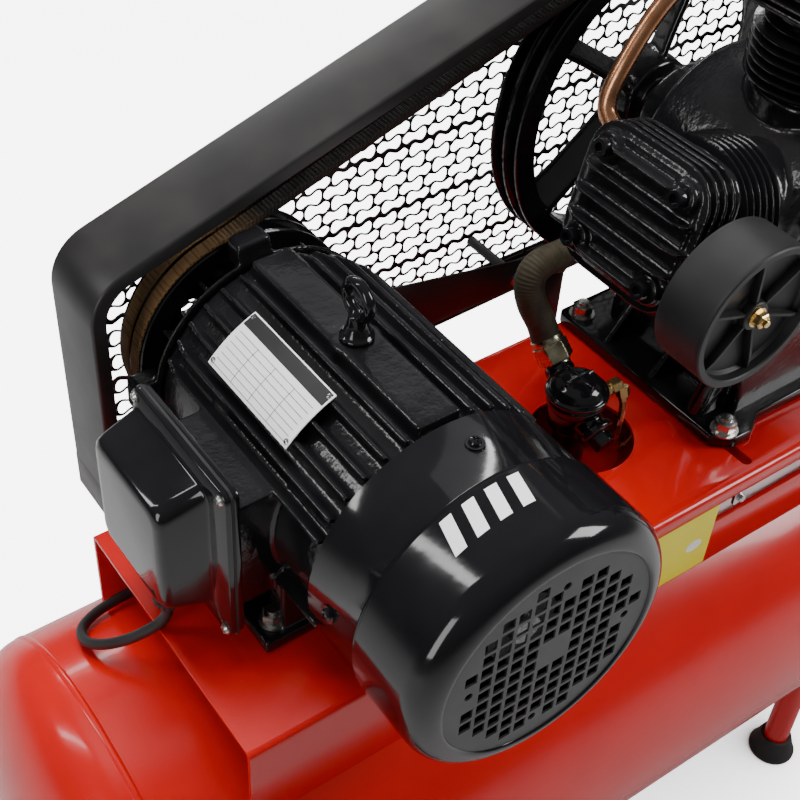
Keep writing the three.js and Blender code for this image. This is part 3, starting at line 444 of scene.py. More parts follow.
def finish(name, low, high, rough, metal=0.0, coat=0.0, spread=0.04, patch=45.0, relief=(),
           specular=0.5, edge=None):
    """low and high are the two tones; relief holds (grain in mm, depth in mm) layers."""
    material = bpy.data.materials.new(name)
    material.use_nodes = True
    tree = material.node_tree
    shader = tree.nodes["Principled BSDF"]
    spot = tree.nodes.new("ShaderNodeTexCoord").outputs["Object"]
    colour = tones(tree, link_noise(tree, spot, patch), low, high)
    if edge:
        shape = tree.nodes.new("ShaderNodeNewGeometry").outputs["Pointiness"]
        worn = tones(tree, shape, (0, 0, 0), (1, 1, 1), 0.53, 0.60)
        mix = tree.nodes.new("ShaderNodeMix")
        mix.data_type = "RGBA"
        mix.inputs[7].default_value = (*edge, 1.0)
        tree.links.new(worn, mix.inputs[0])
        tree.links.new(colour, mix.inputs[6])
        colour = mix.outputs[2]
    tree.links.new(colour, shader.inputs["Base Color"])
    span_of = tree.nodes.new("ShaderNodeMapRange")
    span_of.inputs["To Min"].default_value = max(rough - spread, 0.02)
    span_of.inputs["To Max"].default_value = rough + spread
    tree.links.new(link_noise(tree, spot, patch * 0.7, 4.0), span_of.inputs["Value"])
    tree.links.new(span_of.outputs["Result"], shader.inputs["Roughness"])
    shader.inputs["Metallic"].default_value = metal
    shader.inputs["Coat Weight"].default_value = coat
    shader.inputs["Coat Roughness"].default_value = 0.04
    shader.inputs["Specular IOR Level"].default_value = specular
    normal = None
    for grain, depth in relief:
        bump = tree.nodes.new("ShaderNodeBump")
        bump.inputs["Strength"].default_value = 1.0
        bump.inputs["Distance"].default_value = depth * 0.001
        tree.links.new(link_noise(tree, spot, grain, 2.0), bump.inputs["Height"])
        if normal:
            tree.links.new(normal, bump.inputs["Normal"])
        normal = bump.outputs["Normal"]
    if normal:
        tree.links.new(normal, shader.inputs["Normal"])
    return material


red_enamel = finish("red_enamel", (0.64, 0.004, 0.003), (0.68, 0.006, 0.004), 0.22, coat=0.25,
                    relief=[(14.0, 0.10), (3.0, 0.02)])
gloss_black = finish("gloss_black", (0.004, 0.004, 0.005), (0.007, 0.007, 0.008), 0.10, coat=0.15,
                     relief=[(22.0, 0.10), (4.0, 0.015)])
cast_black = finish("cast_black", (0.005, 0.005, 0.006), (0.011, 0.011, 0.012), 0.17, coat=0.1,
                    spread=0.06, relief=[(7.0, 0.42), (2.6, 0.14)])
smooth_cast = finish("smooth_cast", (0.005, 0.005, 0.006), (0.010, 0.010, 0.011), 0.16, coat=0.1,
                     spread=0.06, relief=[(12.0, 0.3), (3.0, 0.08)])
satin_black = finish("satin_black", (0.016, 0.015, 0.015), (0.026, 0.025, 0.024), 0.36,
                     spread=0.05, relief=[(1.6, 0.02), (30.0, 0.1)])
soft_black = finish("soft_black", (0.018, 0.018, 0.018), (0.03, 0.03, 0.031), 0.5,
                    relief=[(1.2, 0.03)])
moulded_grey = finish("moulded_grey", (0.010, 0.010, 0.0105), (0.018, 0.018, 0.0185), 0.5,
                      relief=[(1.0, 0.035), (18.0, 0.1)])
grille_grey = finish("grille_grey", (0.035, 0.035, 0.036), (0.055, 0.055, 0.056), 0.45,
                     relief=[(1.5, 0.03)])
hose_rubber = finish("hose_rubber", (0.030, 0.024, 0.014), (0.062, 0.050, 0.030), 0.55, patch=12.0,
                     relief=[(1.5, 0.05)])
lead_rubber = finish("lead_rubber", (0.012, 0.012, 0.012), (0.022, 0.022, 0.022), 0.45,
                     relief=[(2.0, 0.04)])
tyre_rubber = finish("tyre_rubber", (0.014, 0.014, 0.014), (0.03, 0.029, 0.028), 0.7,
                     relief=[(1.4, 0.06)])
zinc = finish("zinc", (0.55, 0.55, 0.52), (0.74, 0.73, 0.69), 0.28, metal=1.0, patch=8.0,
              relief=[(2.0, 0.02)])
yellow_zinc = finish("yellow_zinc", (0.46, 0.42, 0.27), (0.66, 0.61, 0.42), 0.27, metal=1.0,
                     patch=8.0, relief=[(2.0, 0.02)])
bright_steel = finish("bright_steel", (0.5, 0.5, 0.51), (0.66, 0.66, 0.67), 0.26, metal=1.0,
                      relief=[(1.0, 0.01)])
brass = finish("brass", (0.62, 0.43, 0.16), (0.80, 0.58, 0.26), 0.26, metal=1.0, patch=14.0,
               relief=[(2.0, 0.015)])
copper = finish("copper", (0.62, 0.27, 0.13), (0.80, 0.40, 0.22), 0.27, metal=1.0, patch=10.0,
                relief=[(3.0, 0.02)])
red_plastic = finish("red_plastic", (0.42, 0.012, 0.008), (0.52, 0.018, 0.012), 0.28,
                     relief=[(1.5, 0.02)])
yellow_film = finish("yellow_film", (0.88, 0.78, 0.01), (0.92, 0.83, 0.02), 0.32,
                     relief=[(9.0, 0.03)])
white_print = finish("white_print", (0.88, 0.88, 0.88), (0.93, 0.93, 0.93), 0.35,
                     relief=[(6.0, 0.02)])
black_print = finish("black_print", (0.02, 0.02, 0.02), (0.03, 0.03, 0.03), 0.4,
                     relief=[(6.0, 0.02)])
oil_amber = finish("oil_amber", (0.55, 0.30, 0.03), (0.70, 0.42, 0.06), 0.08, coat=1.0, patch=9.0,
                   relief=[(6.0, 0.03)])
print("finishes", len(bpy.data.materials))

# %% [markdown]
# A wrapped V-belt shows the threads of its canvas jacket. Two sets of fine waves, one along and
# one across the belt, stand for warp and weft; they tint the cloth and raise it.

# %% Canvas of the belts
def canvas(name, low, high):
    material = finish(name, low, high, 0.75, patch=16.0)
    tree = material.node_tree
    shader = tree.nodes["Principled BSDF"]
    spot = tree.nodes.new("ShaderNodeTexCoord").outputs["Object"]
    heights = []
    for axis, pitch in (("Y", 2.2), ("X", 3.4), ("Z", 3.4)):
        wave = tree.nodes.new("ShaderNodeTexWave")
        wave.bands_direction = axis
        wave.inputs["Scale"].default_value = 1000.0 / pitch / 20.0 * 2 * math.pi
        wave.inputs["Distortion"].default_value = 0.6
        tree.links.new(spot, wave.inputs["Vector"])
        heights.append(wave.outputs["Fac"])
    total = heights[0]
    for other in heights[1:]:
        add = tree.nodes.new("ShaderNodeMath")
        add.operation = "ADD"
        tree.links.new(total, add.inputs[0])
        tree.links.new(other, add.inputs[1])
        total = add.outputs[0]
    shade = tones(tree, total, low, high, 0.6, 2.0)
    tree.links.new(shade, shader.inputs["Base Color"])
    bump = tree.nodes.new("ShaderNodeBump")
    bump.inputs["Distance"].default_value = 0.0004
    tree.links.new(total, bump.inputs["Height"])
    tree.links.new(bump.outputs["Normal"], shader.inputs["Normal"])
    return material


tan_canvas = canvas("tan_canvas", (0.16, 0.075, 0.02), (0.44, 0.24, 0.09))


def painted_shade_run(name, low, high, start, end, painted_shade_colour):
    """Belt cloth with painted shade: it darkens along the machine, from x = start to x = end, in
    metres.
    """
    material = canvas(name, low, high)
    tree = material.node_tree
    shader = tree.nodes["Principled BSDF"]
    cloth = shader.inputs["Base Color"].links[0].from_socket
    spot = tree.nodes.new("ShaderNodeTexCoord").outputs["Object"]
    split_spot = tree.nodes.new("ShaderNodeSeparateXYZ")
    tree.links.new(spot, split_spot.inputs[0])
    # Painted shade: the cloth's colour is mixed towards a dark tone along x.
    painted_shade_fade = tree.nodes.new("ShaderNodeMapRange")
    painted_shade_fade.inputs["From Min"].default_value = start
    painted_shade_fade.inputs["From Max"].default_value = end
    tree.links.new(split_spot.outputs["X"], painted_shade_fade.inputs["Value"])
    mix = tree.nodes.new("ShaderNodeMix")
    mix.data_type = "RGBA"
    mix.inputs[7].default_value = (*painted_shade_colour, 1.0)
    tree.links.new(painted_shade_fade.outputs["Result"], mix.inputs[0])
    tree.links.new(cloth, mix.inputs[6])
    tree.links.new(mix.outputs[2], shader.inputs["Base Color"])
    return material


# The belts' cloth carries painted shade, dark from x = -0.33 m to -0.27 m.
belt_cloth_painted_shade = painted_shade_run("belt_cloth_painted_shade", (0.16, 0.075, 0.02), (0.44, 0.24, 0.09), -0.33, -0.27,
                        (0.018, 0.014, 0.011))

# %% [markdown]
# The floor glows for the eye of the camera, so that it reads as a white studio sweep, and stays a
# plain pale floor for every other ray, so that it doesn't wash out the gloss. Where something
# stands close over it, ambient occlusion takes the glow away: a painted soft contact shadow.

# %% Floor
FLOOR_GLOW = 6.0


def floor_paint():
    paint = finish("floor_paint", (0.50, 0.50, 0.50), (0.55, 0.55, 0.55), 0.85, patch=900.0,
                   relief=[(40.0, 0.05)])
    tree = paint.node_tree
    shader = tree.nodes["Principled BSDF"]
    rays = tree.nodes.new("ShaderNodeLightPath")
    # Ambient occlusion paints a soft contact shadow into the floor's glow.
    contact_shadow_ao = tree.nodes.new("ShaderNodeAmbientOcclusion")
    contact_shadow_ao.inputs["Distance"].default_value = 0.3
    contact_shadow_ao.samples = 8
    shade = tree.nodes.new("ShaderNodeMapRange")
    shade.inputs["From Min"].default_value = 0.25
    shade.inputs["From Max"].default_value = 0.95
    shade.inputs["To Min"].default_value = 0.12
    shade.inputs["To Max"].default_value = FLOOR_GLOW
    tree.links.new(contact_shadow_ao.outputs["AO"], shade.inputs["Value"])
    only_eye = tree.nodes.new("ShaderNodeMath")
    only_eye.operation = "MULTIPLY"
    tree.links.new(shade.outputs["Result"], only_eye.inputs[0])
    tree.links.new(rays.outputs["Is Camera Ray"], only_eye.inputs[1])
    tree.links.new(only_eye.outputs[0], shader.inputs["Emission Strength"])
    shader.inputs["Emission Color"].default_value = (1.0, 1.0, 1.0, 1.0)
    return paint


def floor_plate():
    mesh = bpy.data.meshes.new("floor")
    reach = 14.0
    mesh.from_pydata([(-reach, -reach, 0), (reach, -reach, 0), (reach, reach, 0),
                      (-reach, reach, 0)], [], [(0, 1, 2, 3)])
    obj = bpy.data.objects.new("floor", mesh)
    scene.collection.objects.link(obj)
    obj.location.z = cad_low[2] - 0.0005
    mesh.materials.append(floor_paint())
    return obj


floor_plate()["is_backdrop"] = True

# %% [markdown]
# Solids that stay as they are, mostly inner ones, only get a finish through their own slot.

# %% Finishes for the solids
SLOT_FINISH = {
    "tank_red": red_enamel, "handle_black": satin_black, "guard_black": satin_black,
    "sheet_black": gloss_black, "motor_iron": smooth_cast, "pump_iron": smooth_cast,
    "valve_iron": gloss_black, "bright_steel": bright_steel, "plate_white": white_print,
    "plastic_black": soft_black, "filter_plastic": moulded_grey, "black_rubber": lead_rubber,
    "tyre_rubber": tyre_rubber, "belt_canvas": tan_canvas, "hose_olive": hose_rubber,
    "brass_fitting": brass, "copper_pipe": copper, "red_plastic": red_plastic,
}
for part in frame["record"]["subparts"]:
    solid = nodes[part["node"]]
    for holder in solid.material_slots:
        holder.link = "OBJECT"
        holder.material = SLOT_FINISH[part["material_slot"]]
print("solids with a finish", len(nodes))

# %% [markdown]
# ## Motor
# The fan cowl is one pressed sheet: a skirt, a small step down to a smooth drum, a rolled front
# edge and a flat grille set back behind a lip. The grille comes from a filled outline with holes,
# the simplest way to get hundreds of clean punched openings.

# %% Fan cowl
MOTOR = (MOTOR_X, 0.0, MOTOR_Z)


def arc_profile(centre_r, centre_y, radius, start, end, count):
    """Corners of (radius, distance) along an arc given in degrees."""
    return [(centre_r + radius * math.cos(math.radians(start + (end - start) * i / count)),
             centre_y + radius * math.sin(math.radians(start + (end - start) * i / count)))
            for i in range(count + 1)]


def around(angle, radius, y, axis_x=MOTOR_X, axis_z=MOTOR_Z):
    t = math.radians(angle)
    return axis_x + radius * math.cos(t), y, axis_z + radius * math.sin(t)


def filled(outline, holes, thickness, plane_y, centre):
    """A flat plate in the X-Z plane with holes, from a filled curve."""
    curve = bpy.data.curves.new("plate", "CURVE")
    curve.dimensions = "2D"
    curve.fill_mode = "BOTH"
    curve.extrude = thickness / 2
    for ring in [outline, *holes]:
        line = curve.splines.new("POLY")
        line.points.add(len(ring) - 1)
        for point, (a, b) in zip(line.points, ring):
            point.co = (a, b, 0.0, 1.0)
        line.use_cyclic_u = True
    holder = bpy.data.objects.new("plate", curve)
    scene.collection.objects.link(holder)
    graph = bpy.context.evaluated_depsgraph_get()
    graph.update()
    mesh = bpy.data.meshes.new_from_object(holder.evaluated_get(graph))
    points = [(centre[0] + v.co.x, plane_y + v.co.z, centre[1] + v.co.y) for v in mesh.vertices]
    faces = [tuple(p.vertices) for p in mesh.polygons]
    bpy.data.objects.remove(holder)
    bpy.data.curves.remove(curve)
    bpy.data.meshes.remove(mesh)
    return points, faces


FRONT_Y, STEP_Y, BACK_Y = -230.0, -156.0, -99.0
drum = ([(109.0, BACK_Y), (109.0, STEP_Y + 3.0), (110.2, STEP_Y + 1.2), (110.0, STEP_Y),
         (111.3, STEP_Y - 1.6), (111.3, FRONT_Y + 22.0)]
        + arc_profile(89.8, FRONT_Y + 21.5, 21.5, 0, -86, 14)
        + [(90.2, FRONT_Y + 0.5), (89.4, FRONT_Y + 1.6), (89.4, FRONT_Y + 4.0),
           (90.6, FRONT_Y + 4.0)]
        + arc_profile(89.8, FRONT_Y + 21.5, 19.2, -84, 0, 10)
        + [(109.0, STEP_Y), (107.0, STEP_Y + 3.0), (107.0, BACK_Y), (109.0, BACK_Y)])
piece("cowl_drum", revolve(drum, "y", MOTOR, 120), gloss_black, hides="fan_cowl")

PITCH, HOLE = 13.1, 10.0
vents = [around(angle, 69.0, 0.0) for angle in (86.0, -4.0, 176.0, 266.0)]
vents = [(x - MOTOR_X, z - MOTOR_Z) for x, _, z in vents]
punches = [disc_outline(3.4, spot, 20) for spot in vents]
for i in range(-6, 7):
    for j in range(-6, 7):
        a, b = -2.8 + i * PITCH, -4.4 + j * PITCH
        clear = min(math.hypot(a - x, b - z) for x, z in vents)
        if 15.0 < math.hypot(a, b) < 76.5 and clear > 10.2:
            punches.append(round_rect(HOLE / 2, HOLE / 2, 0.5, (a, b), 1))
piece("cowl_grille", filled(disc_outline(90.3, steps=96), punches, 1.6, FRONT_Y + 2.6,
                            (MOTOR_X, MOTOR_Z)), grille_grey, hides="fan_cowl")


def pan_screw(spot, angle, head=4.6):
    """A washer and a domed head with a cross recess, standing outwards at that angle."""
    x, y, z = spot
    shape = together(
        revolve([(0, -0.5), (head + 2.6, -0.5), (head + 2.6, 1.0), (0, 1.0)], "z", (0, 0, 0), 24),
        revolve([(0, 1.0), (head, 1.0), (head, 2.0), (head * 0.8, 3.4), (head * 0.4, 4.0),
                 (0, 4.1)],
                "z", (0, 0, 0), 24))
    shape = rotated(shape, 90 - angle, "y")
    slot_a = rotated(together(block(-0.7, 0.7, -head * 0.62, head * 0.62, 2.6, 6.0),
                              block(-head * 0.62, head * 0.62, -0.7, 0.7, 2.61, 6.01)),
                     90 - angle, "y")
    return moved(shape, x, y, z), moved(slot_a, x, y, z)


for k, angle in enumerate((86.5, 176.5, 266.5, 356.5)):
    head_shape, recess = pan_screw(around(angle, 109.0, -124.0), angle)
    piece(f"cowl_screw_{k + 1}", head_shape, gloss_black, cuts=recess)

# %% [markdown]
# The cowl carries a plain generic mark, four slanted bars, painted a hair proud of the drum.

# %% Bars on the cowl
def wrapped(outline, radius, thickness, centre_angle, axis_x=MOTOR_X, axis_z=MOTOR_Z, splits=6):
    """Bends a flat four-sided patch of (arc length, y) corners round the motor's axis."""
    (a0, b0), (a1, b1), (a2, b2), (a3, b3) = outline
    rings = []
    for i in range(splits + 1):
        s = i / splits
        low = (a0 + (a1 - a0) * s, b0 + (b1 - b0) * s)
        high = (a3 + (a2 - a3) * s, b3 + (b2 - b3) * s)
        ring = []
        for (arc, y), r in ((low, radius), (high, radius), (high, radius + thickness),
                            (low, radius + thickness)):
            t = math.radians(centre_angle) - arc / radius
            ring.append((axis_x + r * math.cos(t), y, axis_z + r * math.sin(t)))
        rings.append(ring)
    return loft(rings)


bars = []
for k in range(4):
    start = -36.0 + 18.5 * k
    bars.append(wrapped([(start, -187.0), (start + 10.0, -187.0), (start + 17.0, -161.0),
                         (start + 7.0, -161.0)], 111.25, 0.25, 102.0))
piece("cowl_bars", together(*bars), white_print)

# %% [markdown]
# The motor's barrel, its ribs, the crown pad, the feet and the terminal pedestal are one casting,
# so they are built as overlapping solids and fused. The end shield behind it is a second casting
# with a domed middle and block lugs for its screws.

# %% Motor casting
def rib_bar(angle, y0, y1, foot=97.0, tip=111.0, tip_end=103.0, half=2.1, taper=24.0):
    """A cooling rib that stands on the barrel and falls away towards the drive end."""
    side = [(foot, y0), (tip, y0), (tip, y1 - taper), (tip_end, y1), (foot, y1)]
    rings = [[(r, y, -half) for r, y in side], [(r, y, half) for r, y in side]]
    shape = loft(rings)
    return moved(rotated(shape, -angle, "y"), *MOTOR)


casting = [revolve([(86, -98.5), (99, -98.5), (100, -96), (100, 122), (98, 129.5), (86, 129.5),
                    (86, -98.5)], "y", MOTOR, 96)]
for i in range(36):
    angle = i * 10 + 5
    if abs(angle - 180) < 22 or 232 < angle < 308 or abs(angle - 90) < 12:
        continue
    under_plate = abs(angle - 125) < 12
    casting.append(rib_bar(angle, -96.0, 126.0, tip=110.7 if under_plate else 111.0))
casting.append(prism([(MOTOR_X - 19.5, MOTOR_Z + 90), (MOTOR_X + 19.5, MOTOR_Z + 90),
                      (MOTOR_X + 18, MOTOR_Z + 111.2), (MOTOR_X - 18, MOTOR_Z + 111.2)], -94, 122))
casting.append(rod(20, MOTOR_Z + 90, MOTOR_Z + 111.6, "z", (MOTOR_X, 5.0, 0.0), 32))
casting.append(block(-334, MOTOR_X - 80, -40, 60, MOTOR_Z - 60, MOTOR_Z + 46))
for s in (-1, 1):
    x0 = MOTOR_X + s * 95
    casting.append(block(x0 - 23, x0 + 23, -57, 121, PLATE + 1.3, PLATE + 13.5))
    for y in (-40, 102):
        casting.append(block(MOTOR_X + s * 76 - 24, MOTOR_X + s * 76 + 24, y - 12, y + 12,
                             PLATE + 8, PLATE + 66))
piece("motor_casting", together(*casting), cast_black, hides="motor_frame",
      cast=2.0, soften=3)

dome = [(0, 157.5), (34, 157.5), (37, 156), (39, 152.5), (52, 151), (74, 148.5), (88, 144),
        (98, 138), (103.5, 133), (104, 130.6), (0, 130.6)]
shield = [revolve(dome, "y", MOTOR, 96)]
for angle in (94.0, 178.0, 2.0, 225.0, 315.0):
    lug = round_rect(13.5, 15, 4.5, (106.5, 0.0), 3)
    shield.append(moved(rotated(prism(lug, 131.5, 150), -angle, "y"), *MOTOR))
for angle in (30, 60, 120, 150, 210, 240, 300, 330):
    shield.append(moved(rotated(prism([(36, -2.2), (96, -2.2), (96, 2.2), (36, 2.2)], 134, 153),
                                -angle, "y"), *MOTOR))
piece("end_shield", together(*shield), cast_black, hides="drive_shield",
      cast=1.8, soften=3)


def hex_screw(at, axis="z", across=13.0, height=6.0, washer=9.0, sign=1):
    """A flat washer, a spring washer and a hexagon head, standing along an axis."""
    x, y, z = at
    rings = [(0, 0), (washer, 0), (washer, 1.6), (0, 1.6)]
    lock = [(0, 1.6), (washer * 0.74, 1.6), (washer * 0.74, 3.4), (0, 3.4)]
    r = across / 2 / math.cos(math.pi / 6)
    nut = [(0, 3.4), (r, 3.4), (r, 2.6 + height), (r * 0.86, 3.4 + height), (0, 3.4 + height)]
    stem = [(0, 3.0), (across * 0.3, 3.0), (across * 0.3, height + 6.6), (0, height + 7.2)]
    parts = together(revolve([(r_, h * sign) for r_, h in rings], axis, at, 28),
                     revolve([(r_, h * sign) for r_, h in lock], axis, at, 28),
                     revolve([(r_, h * sign) for r_, h in nut], axis, at, 6),
                     revolve([(r_, h * sign) for r_, h in stem], axis, at, 14))
    return parts


screws = [hex_screw(around(angle, 104.5, 150.0), "y", 8.0, 3.4, 6.4) for angle in (94, 178, 2)]
piece("shield_screws", together(*screws), zinc)
screws = [hex_screw((MOTOR_X + s * 102, y, PLATE + 14.0), "z", 15.0, 8.0, 11.0)
          for s in (-1, 1) for y in (-40, 102)]
piece("motor_bolts", together(*screws), zinc)

# %% [markdown]
# The lifting eye is a forged ring on a collar. The data plate follows the rounded flank; it is
# left blank but for its header band, ruled lines and four rivets.

# %% Lifting eye and data plate
def ring_bar(centre, radius, bar, plane="yz", steps=48, sides=16):
    rings = []
    for i in range(steps):
        t = 2 * math.pi * i / steps
        ring = []
        for k in range(sides):
            q = 2 * math.pi * k / sides
            r = radius + bar * math.cos(q)
            a, b, c = r * math.cos(t), r * math.sin(t), bar * math.sin(q)
            offset = {"yz": (c, a, b), "xz": (a, c, b), "xy": (a, b, c)}[plane]
            ring.append(tuple(m + o for m, o in zip(centre, offset)))
        rings.append(ring)
    return loft(rings, closed=True)


EYE = (MOTOR_X, 5.0, MOTOR_Z + 146.0)
eye = together(
    ring_bar(EYE, 13.8, 4.5),
    revolve([(0, 0.4), (13.2, 0.4), (13.2, 3.0), (10.8, 5.0), (8.2, 12.0), (6.6, 20.5), (0, 20.5)],
            "z", (MOTOR_X, 5.0, MOTOR_Z + 112.0), 32))
piece("lifting_eye", eye, gloss_black, hides="eye_bolt", cast=1.0, soften=2)

PLATE_ANGLE = 125.4
plate_face = [wrapped([(-26, -32), (26, -32), (26, 76), (-26, 76)], 111.5, 1.1, PLATE_ANGLE,
                      splits=12)]
piece("data_plate", together(*plate_face), white_print, hides="nameplate",
      bevel=0.3, rings=1)
ink = [wrapped([(13.5, -30.5), (25, -30.5), (25, 74.5), (13.5, 74.5)], 112.6, 0.12, PLATE_ANGLE,
               splits=6)]
for k in range(7):
    arc = 8.0 - 5.2 * k
    ink.append(wrapped([(arc - 0.2, -27), (arc + 0.2, -27), (arc + 0.2, 71), (arc - 0.2, 71)],
                       112.6, 0.12, PLATE_ANGLE, splits=1))
for y in (46.0, 22.0, -3.0):
    ink.append(wrapped([(-23.2, y - 0.2), (8, y - 0.2), (8, y + 0.2), (-23.2, y + 0.2)],
                       112.6, 0.12, PLATE_ANGLE, splits=12))
piece("data_plate_ink", together(*ink), black_print)
rivets = []
for arc in (-21.5, 21.5):
    for y in (-28.5, 72.5):
        angle = PLATE_ANGLE - math.degrees(arc / 111.5)
        dome_shape = revolve([(0, 0), (2.4, 0), (2.1, 0.9), (1.2, 1.5), (0, 1.7)], "z", (0, 0, 0),
                             16)
        rivets.append(moved(rotated(dome_shape, 90 - angle, "y"), *around(angle, 112.4, y)))
piece("plate_rivets", together(*rivets), bright_steel)

# %% [markdown]
# The terminal box is two castings: a flat frame and a tapered cover with round corners, screwed
# on from its face. A ribbed gland closes round the lead under it.

# %% Terminal box, gland and lead
BOX_Z, BASE_MID, LID_MID = MOTOR_Z, 15.0, 25.5


def yz_ring(x, half_y, half_z, radius, mid, z=BOX_Z):
    return [(x, a, b) for a, b in round_rect(half_y, half_z, radius, (mid, z), 5)]


piece("box_frame", loft([yz_ring(-335.4, 67, 77, 8, BASE_MID),
                         yz_ring(-341.0, 67, 77, 8, BASE_MID)]),
      gloss_black, hides="terminal_base", bevel=1.2)
lid = loft([yz_ring(-342.4, 67.5, 77.5, 9, BASE_MID), yz_ring(-346.4, 67.5, 77.5, 9, BASE_MID),
            yz_ring(-347.4, 66.5, 76.5, 8.5, BASE_MID),
            yz_ring(-348.4, 56, 64, 11, LID_MID - 1), yz_ring(-350.5, 54, 62, 12, LID_MID),
            yz_ring(-378, 50.8, 55, 13, LID_MID), yz_ring(-383, 49.2, 53, 13, LID_MID),
            yz_ring(-385.6, 45.5, 49, 11, LID_MID), yz_ring(-386.2, 40, 44, 8, LID_MID)])
piece("box_cover", lid, gloss_black, hides="terminal_lid", sharp=50)
seal = loft([yz_ring(-340.6, 68, 78, 8, BASE_MID), yz_ring(-342.8, 68, 78, 8, BASE_MID)])
piece("box_seal", seal, lead_rubber)
lid_screws = []
recesses = []
for sy in (-1, 1):
    for sz in (-1, 1):
        spot = (-347.4, BASE_MID + sy * 60.5, BOX_Z + sz * 70.5)
        lid_screws.append(revolve([(0, 0.2), (4.6, 0.2), (4.6, -1.4), (3.4, -3.0), (0, -3.4)], "x",
                                  spot, 20))
        x, y, z = spot
        recesses.append(block(x - 6, x - 2.2, y - 0.6, y + 0.6, z - 3, z + 3))
        recesses.append(block(x - 6, x - 2.21, y - 3, y + 3, z - 0.6, z + 0.6))
piece("box_screws", together(*lid_screws), zinc, cuts=together(*recesses))

GLAND = (-370.0, 5.0, PLATE + 54.0)
gland_shape = [revolve([(0, -24), (6.6, -24), (8.6, -16), (10.8, -15), (10.8, -12), (0, -12)], "z",
                       GLAND, 24),
               revolve([(0, -12), (11.2, -12), (11.2, -4), (0, -4)], "z", GLAND, 6),
               revolve([(0, -4), (9.5, -4), (9.5, 1.0), (0, 1.0)], "z", GLAND, 24)]
for k in range(16):
    t = 2 * math.pi * k / 16
    gland_shape.append(block(GLAND[0] + 10 * math.cos(t) - 0.9, GLAND[0] + 10 * math.cos(t) + 0.9,
                             GLAND[1] + 10 * math.sin(t) - 0.9, GLAND[1] + 10 * math.sin(t) + 0.9,
                             GLAND[2] - 17, GLAND[2] - 12))
piece("lead_gland", together(*gland_shape), soft_black, hides="cable_gland",
      bevel=0.3, rings=1)
UNDER = PLATE - 68.0
lead_path = through([
    (-370, 5, PLATE + 32), (-370.5, 5.5, PLATE + 22), (-376, 9, PLATE + 9), (-385, 16, PLATE - 3),
    (-396, 28, PLATE - 19), (-408, 44, PLATE - 35), (-417, 65, PLATE - 50), (-412, 88, PLATE - 62),
    (-394, 101, UNDER), (-366, 105, UNDER), (-330, 105, UNDER), (-150, 105, UNDER),
    (50, 105, UNDER), (250, 105, UNDER), (366, 105, UNDER), (400, 106, UNDER + 2),
    (426, 107, UNDER + 12), (439, 107, UNDER + 34), (440, 102, UNDER + 60), (440, 88, UNDER + 84),
    (440, 68, PLATE + 28), (440, 47, PLATE + 30)], 220)
piece("supply_lead", tube(lead_path, 4.5, 16), lead_rubber, hides="motor_lead")
print("motor pieces made")
# %% [markdown]
# ## Belt guard
# The guard is a sheet folded to a U: the same cross-section runs all the way round one outline, so
# it is lofted from sections set along that outline. Its mesh is a plate with slots in staggered
# rows. Each slot is bounded by two gently waving strands and two short bridges with round corners.

# %% Guard band
REACH, SLOPE, GUARD_LEFT = 202.0, 17.4, -344.0
GUARD_Y0, GUARD_Y1 = 153.0, 226.0


def guard_outline(inset, arc_steps=44, corner_steps=10):
    r = REACH - inset
    slope = math.radians(SLOPE)
    left_edge = GUARD_LEFT + inset
    bottom = CRANK_Z - r
    corner = 46.0 - inset
    top = CRANK_Z + r / math.cos(slope) + (left_edge - CRANK_X) * math.tan(slope)
    centre_z = top - corner * math.tan((math.pi / 2 - slope) / 2)
    points = [(left_edge, bottom)]
    points += [(left_edge + (CRANK_X - left_edge) * k / 6, bottom) for k in range(1, 7)]
    for i in range(1, arc_steps + 1):
        t = -math.pi / 2 + (math.pi + slope) * i / arc_steps
        points.append((CRANK_X + r * math.cos(t), CRANK_Z + r * math.sin(t)))
    for i in range(corner_steps + 1):
        t = math.pi / 2 + slope + (math.pi / 2 - slope) * i / corner_steps
        points.append((left_edge + corner + corner * math.cos(t), centre_z + corner * math.sin(t)))
    return points


section = [(0.0, GUARD_Y0 + 3), (0.35, GUARD_Y0 + 1.4), (1.4, GUARD_Y0 + 0.35), (3, GUARD_Y0),
           (12.6, GUARD_Y0), (13, GUARD_Y0 + 0.9), (12.6, GUARD_Y0 + 1.8), (3.4, GUARD_Y0 + 1.8),
           (2.2, GUARD_Y0 + 2.4), (1.8, GUARD_Y0 + 3.6), (1.8, GUARD_Y1 - 3.6),
           (2.2, GUARD_Y1 - 2.4),
           (3.4, GUARD_Y1 - 1.8), (17.6, GUARD_Y1 - 1.8), (18, GUARD_Y1 - 0.9), (17.6, GUARD_Y1),
           (3, GUARD_Y1), (1.4, GUARD_Y1 - 0.35), (0.35, GUARD_Y1 - 1.4), (0.0, GUARD_Y1 - 3)]
outlines = [guard_outline(inset) for inset, _ in section]
band = loft([[(outlines[k][i][0], section[k][1], outlines[k][i][1]) for k in range(len(section))]
             for i in range(len(outlines[0]))], closed=True)
GUARD_FOOT = PLATE - 10.0
opening = block(GUARD_LEFT + 12, CRANK_X - 20, GUARD_Y0 - 2, GUARD_Y1 - 26, GUARD_FOOT - 4,
                GUARD_FOOT + 16)
piece("guard_sheet", band, satin_black, hides="guard_band", cuts=opening)
leg_box = together(block(GUARD_LEFT, GUARD_LEFT + 60, 126.0, GUARD_Y1, GUARD_FOOT - 35,
                         GUARD_FOOT + 2.5))
hollow = block(GUARD_LEFT + 3, GUARD_LEFT + 70, 129.0, GUARD_Y1 - 3, GUARD_FOOT - 40,
               GUARD_FOOT - 2.5)
piece("guard_foot", leg_box, satin_black, hides="guard_band", cuts=hollow,
      bevel=1.2)

# %% Guard mesh
SLOT, ROW, SHIFT = 28.0, 13.5, 8.7


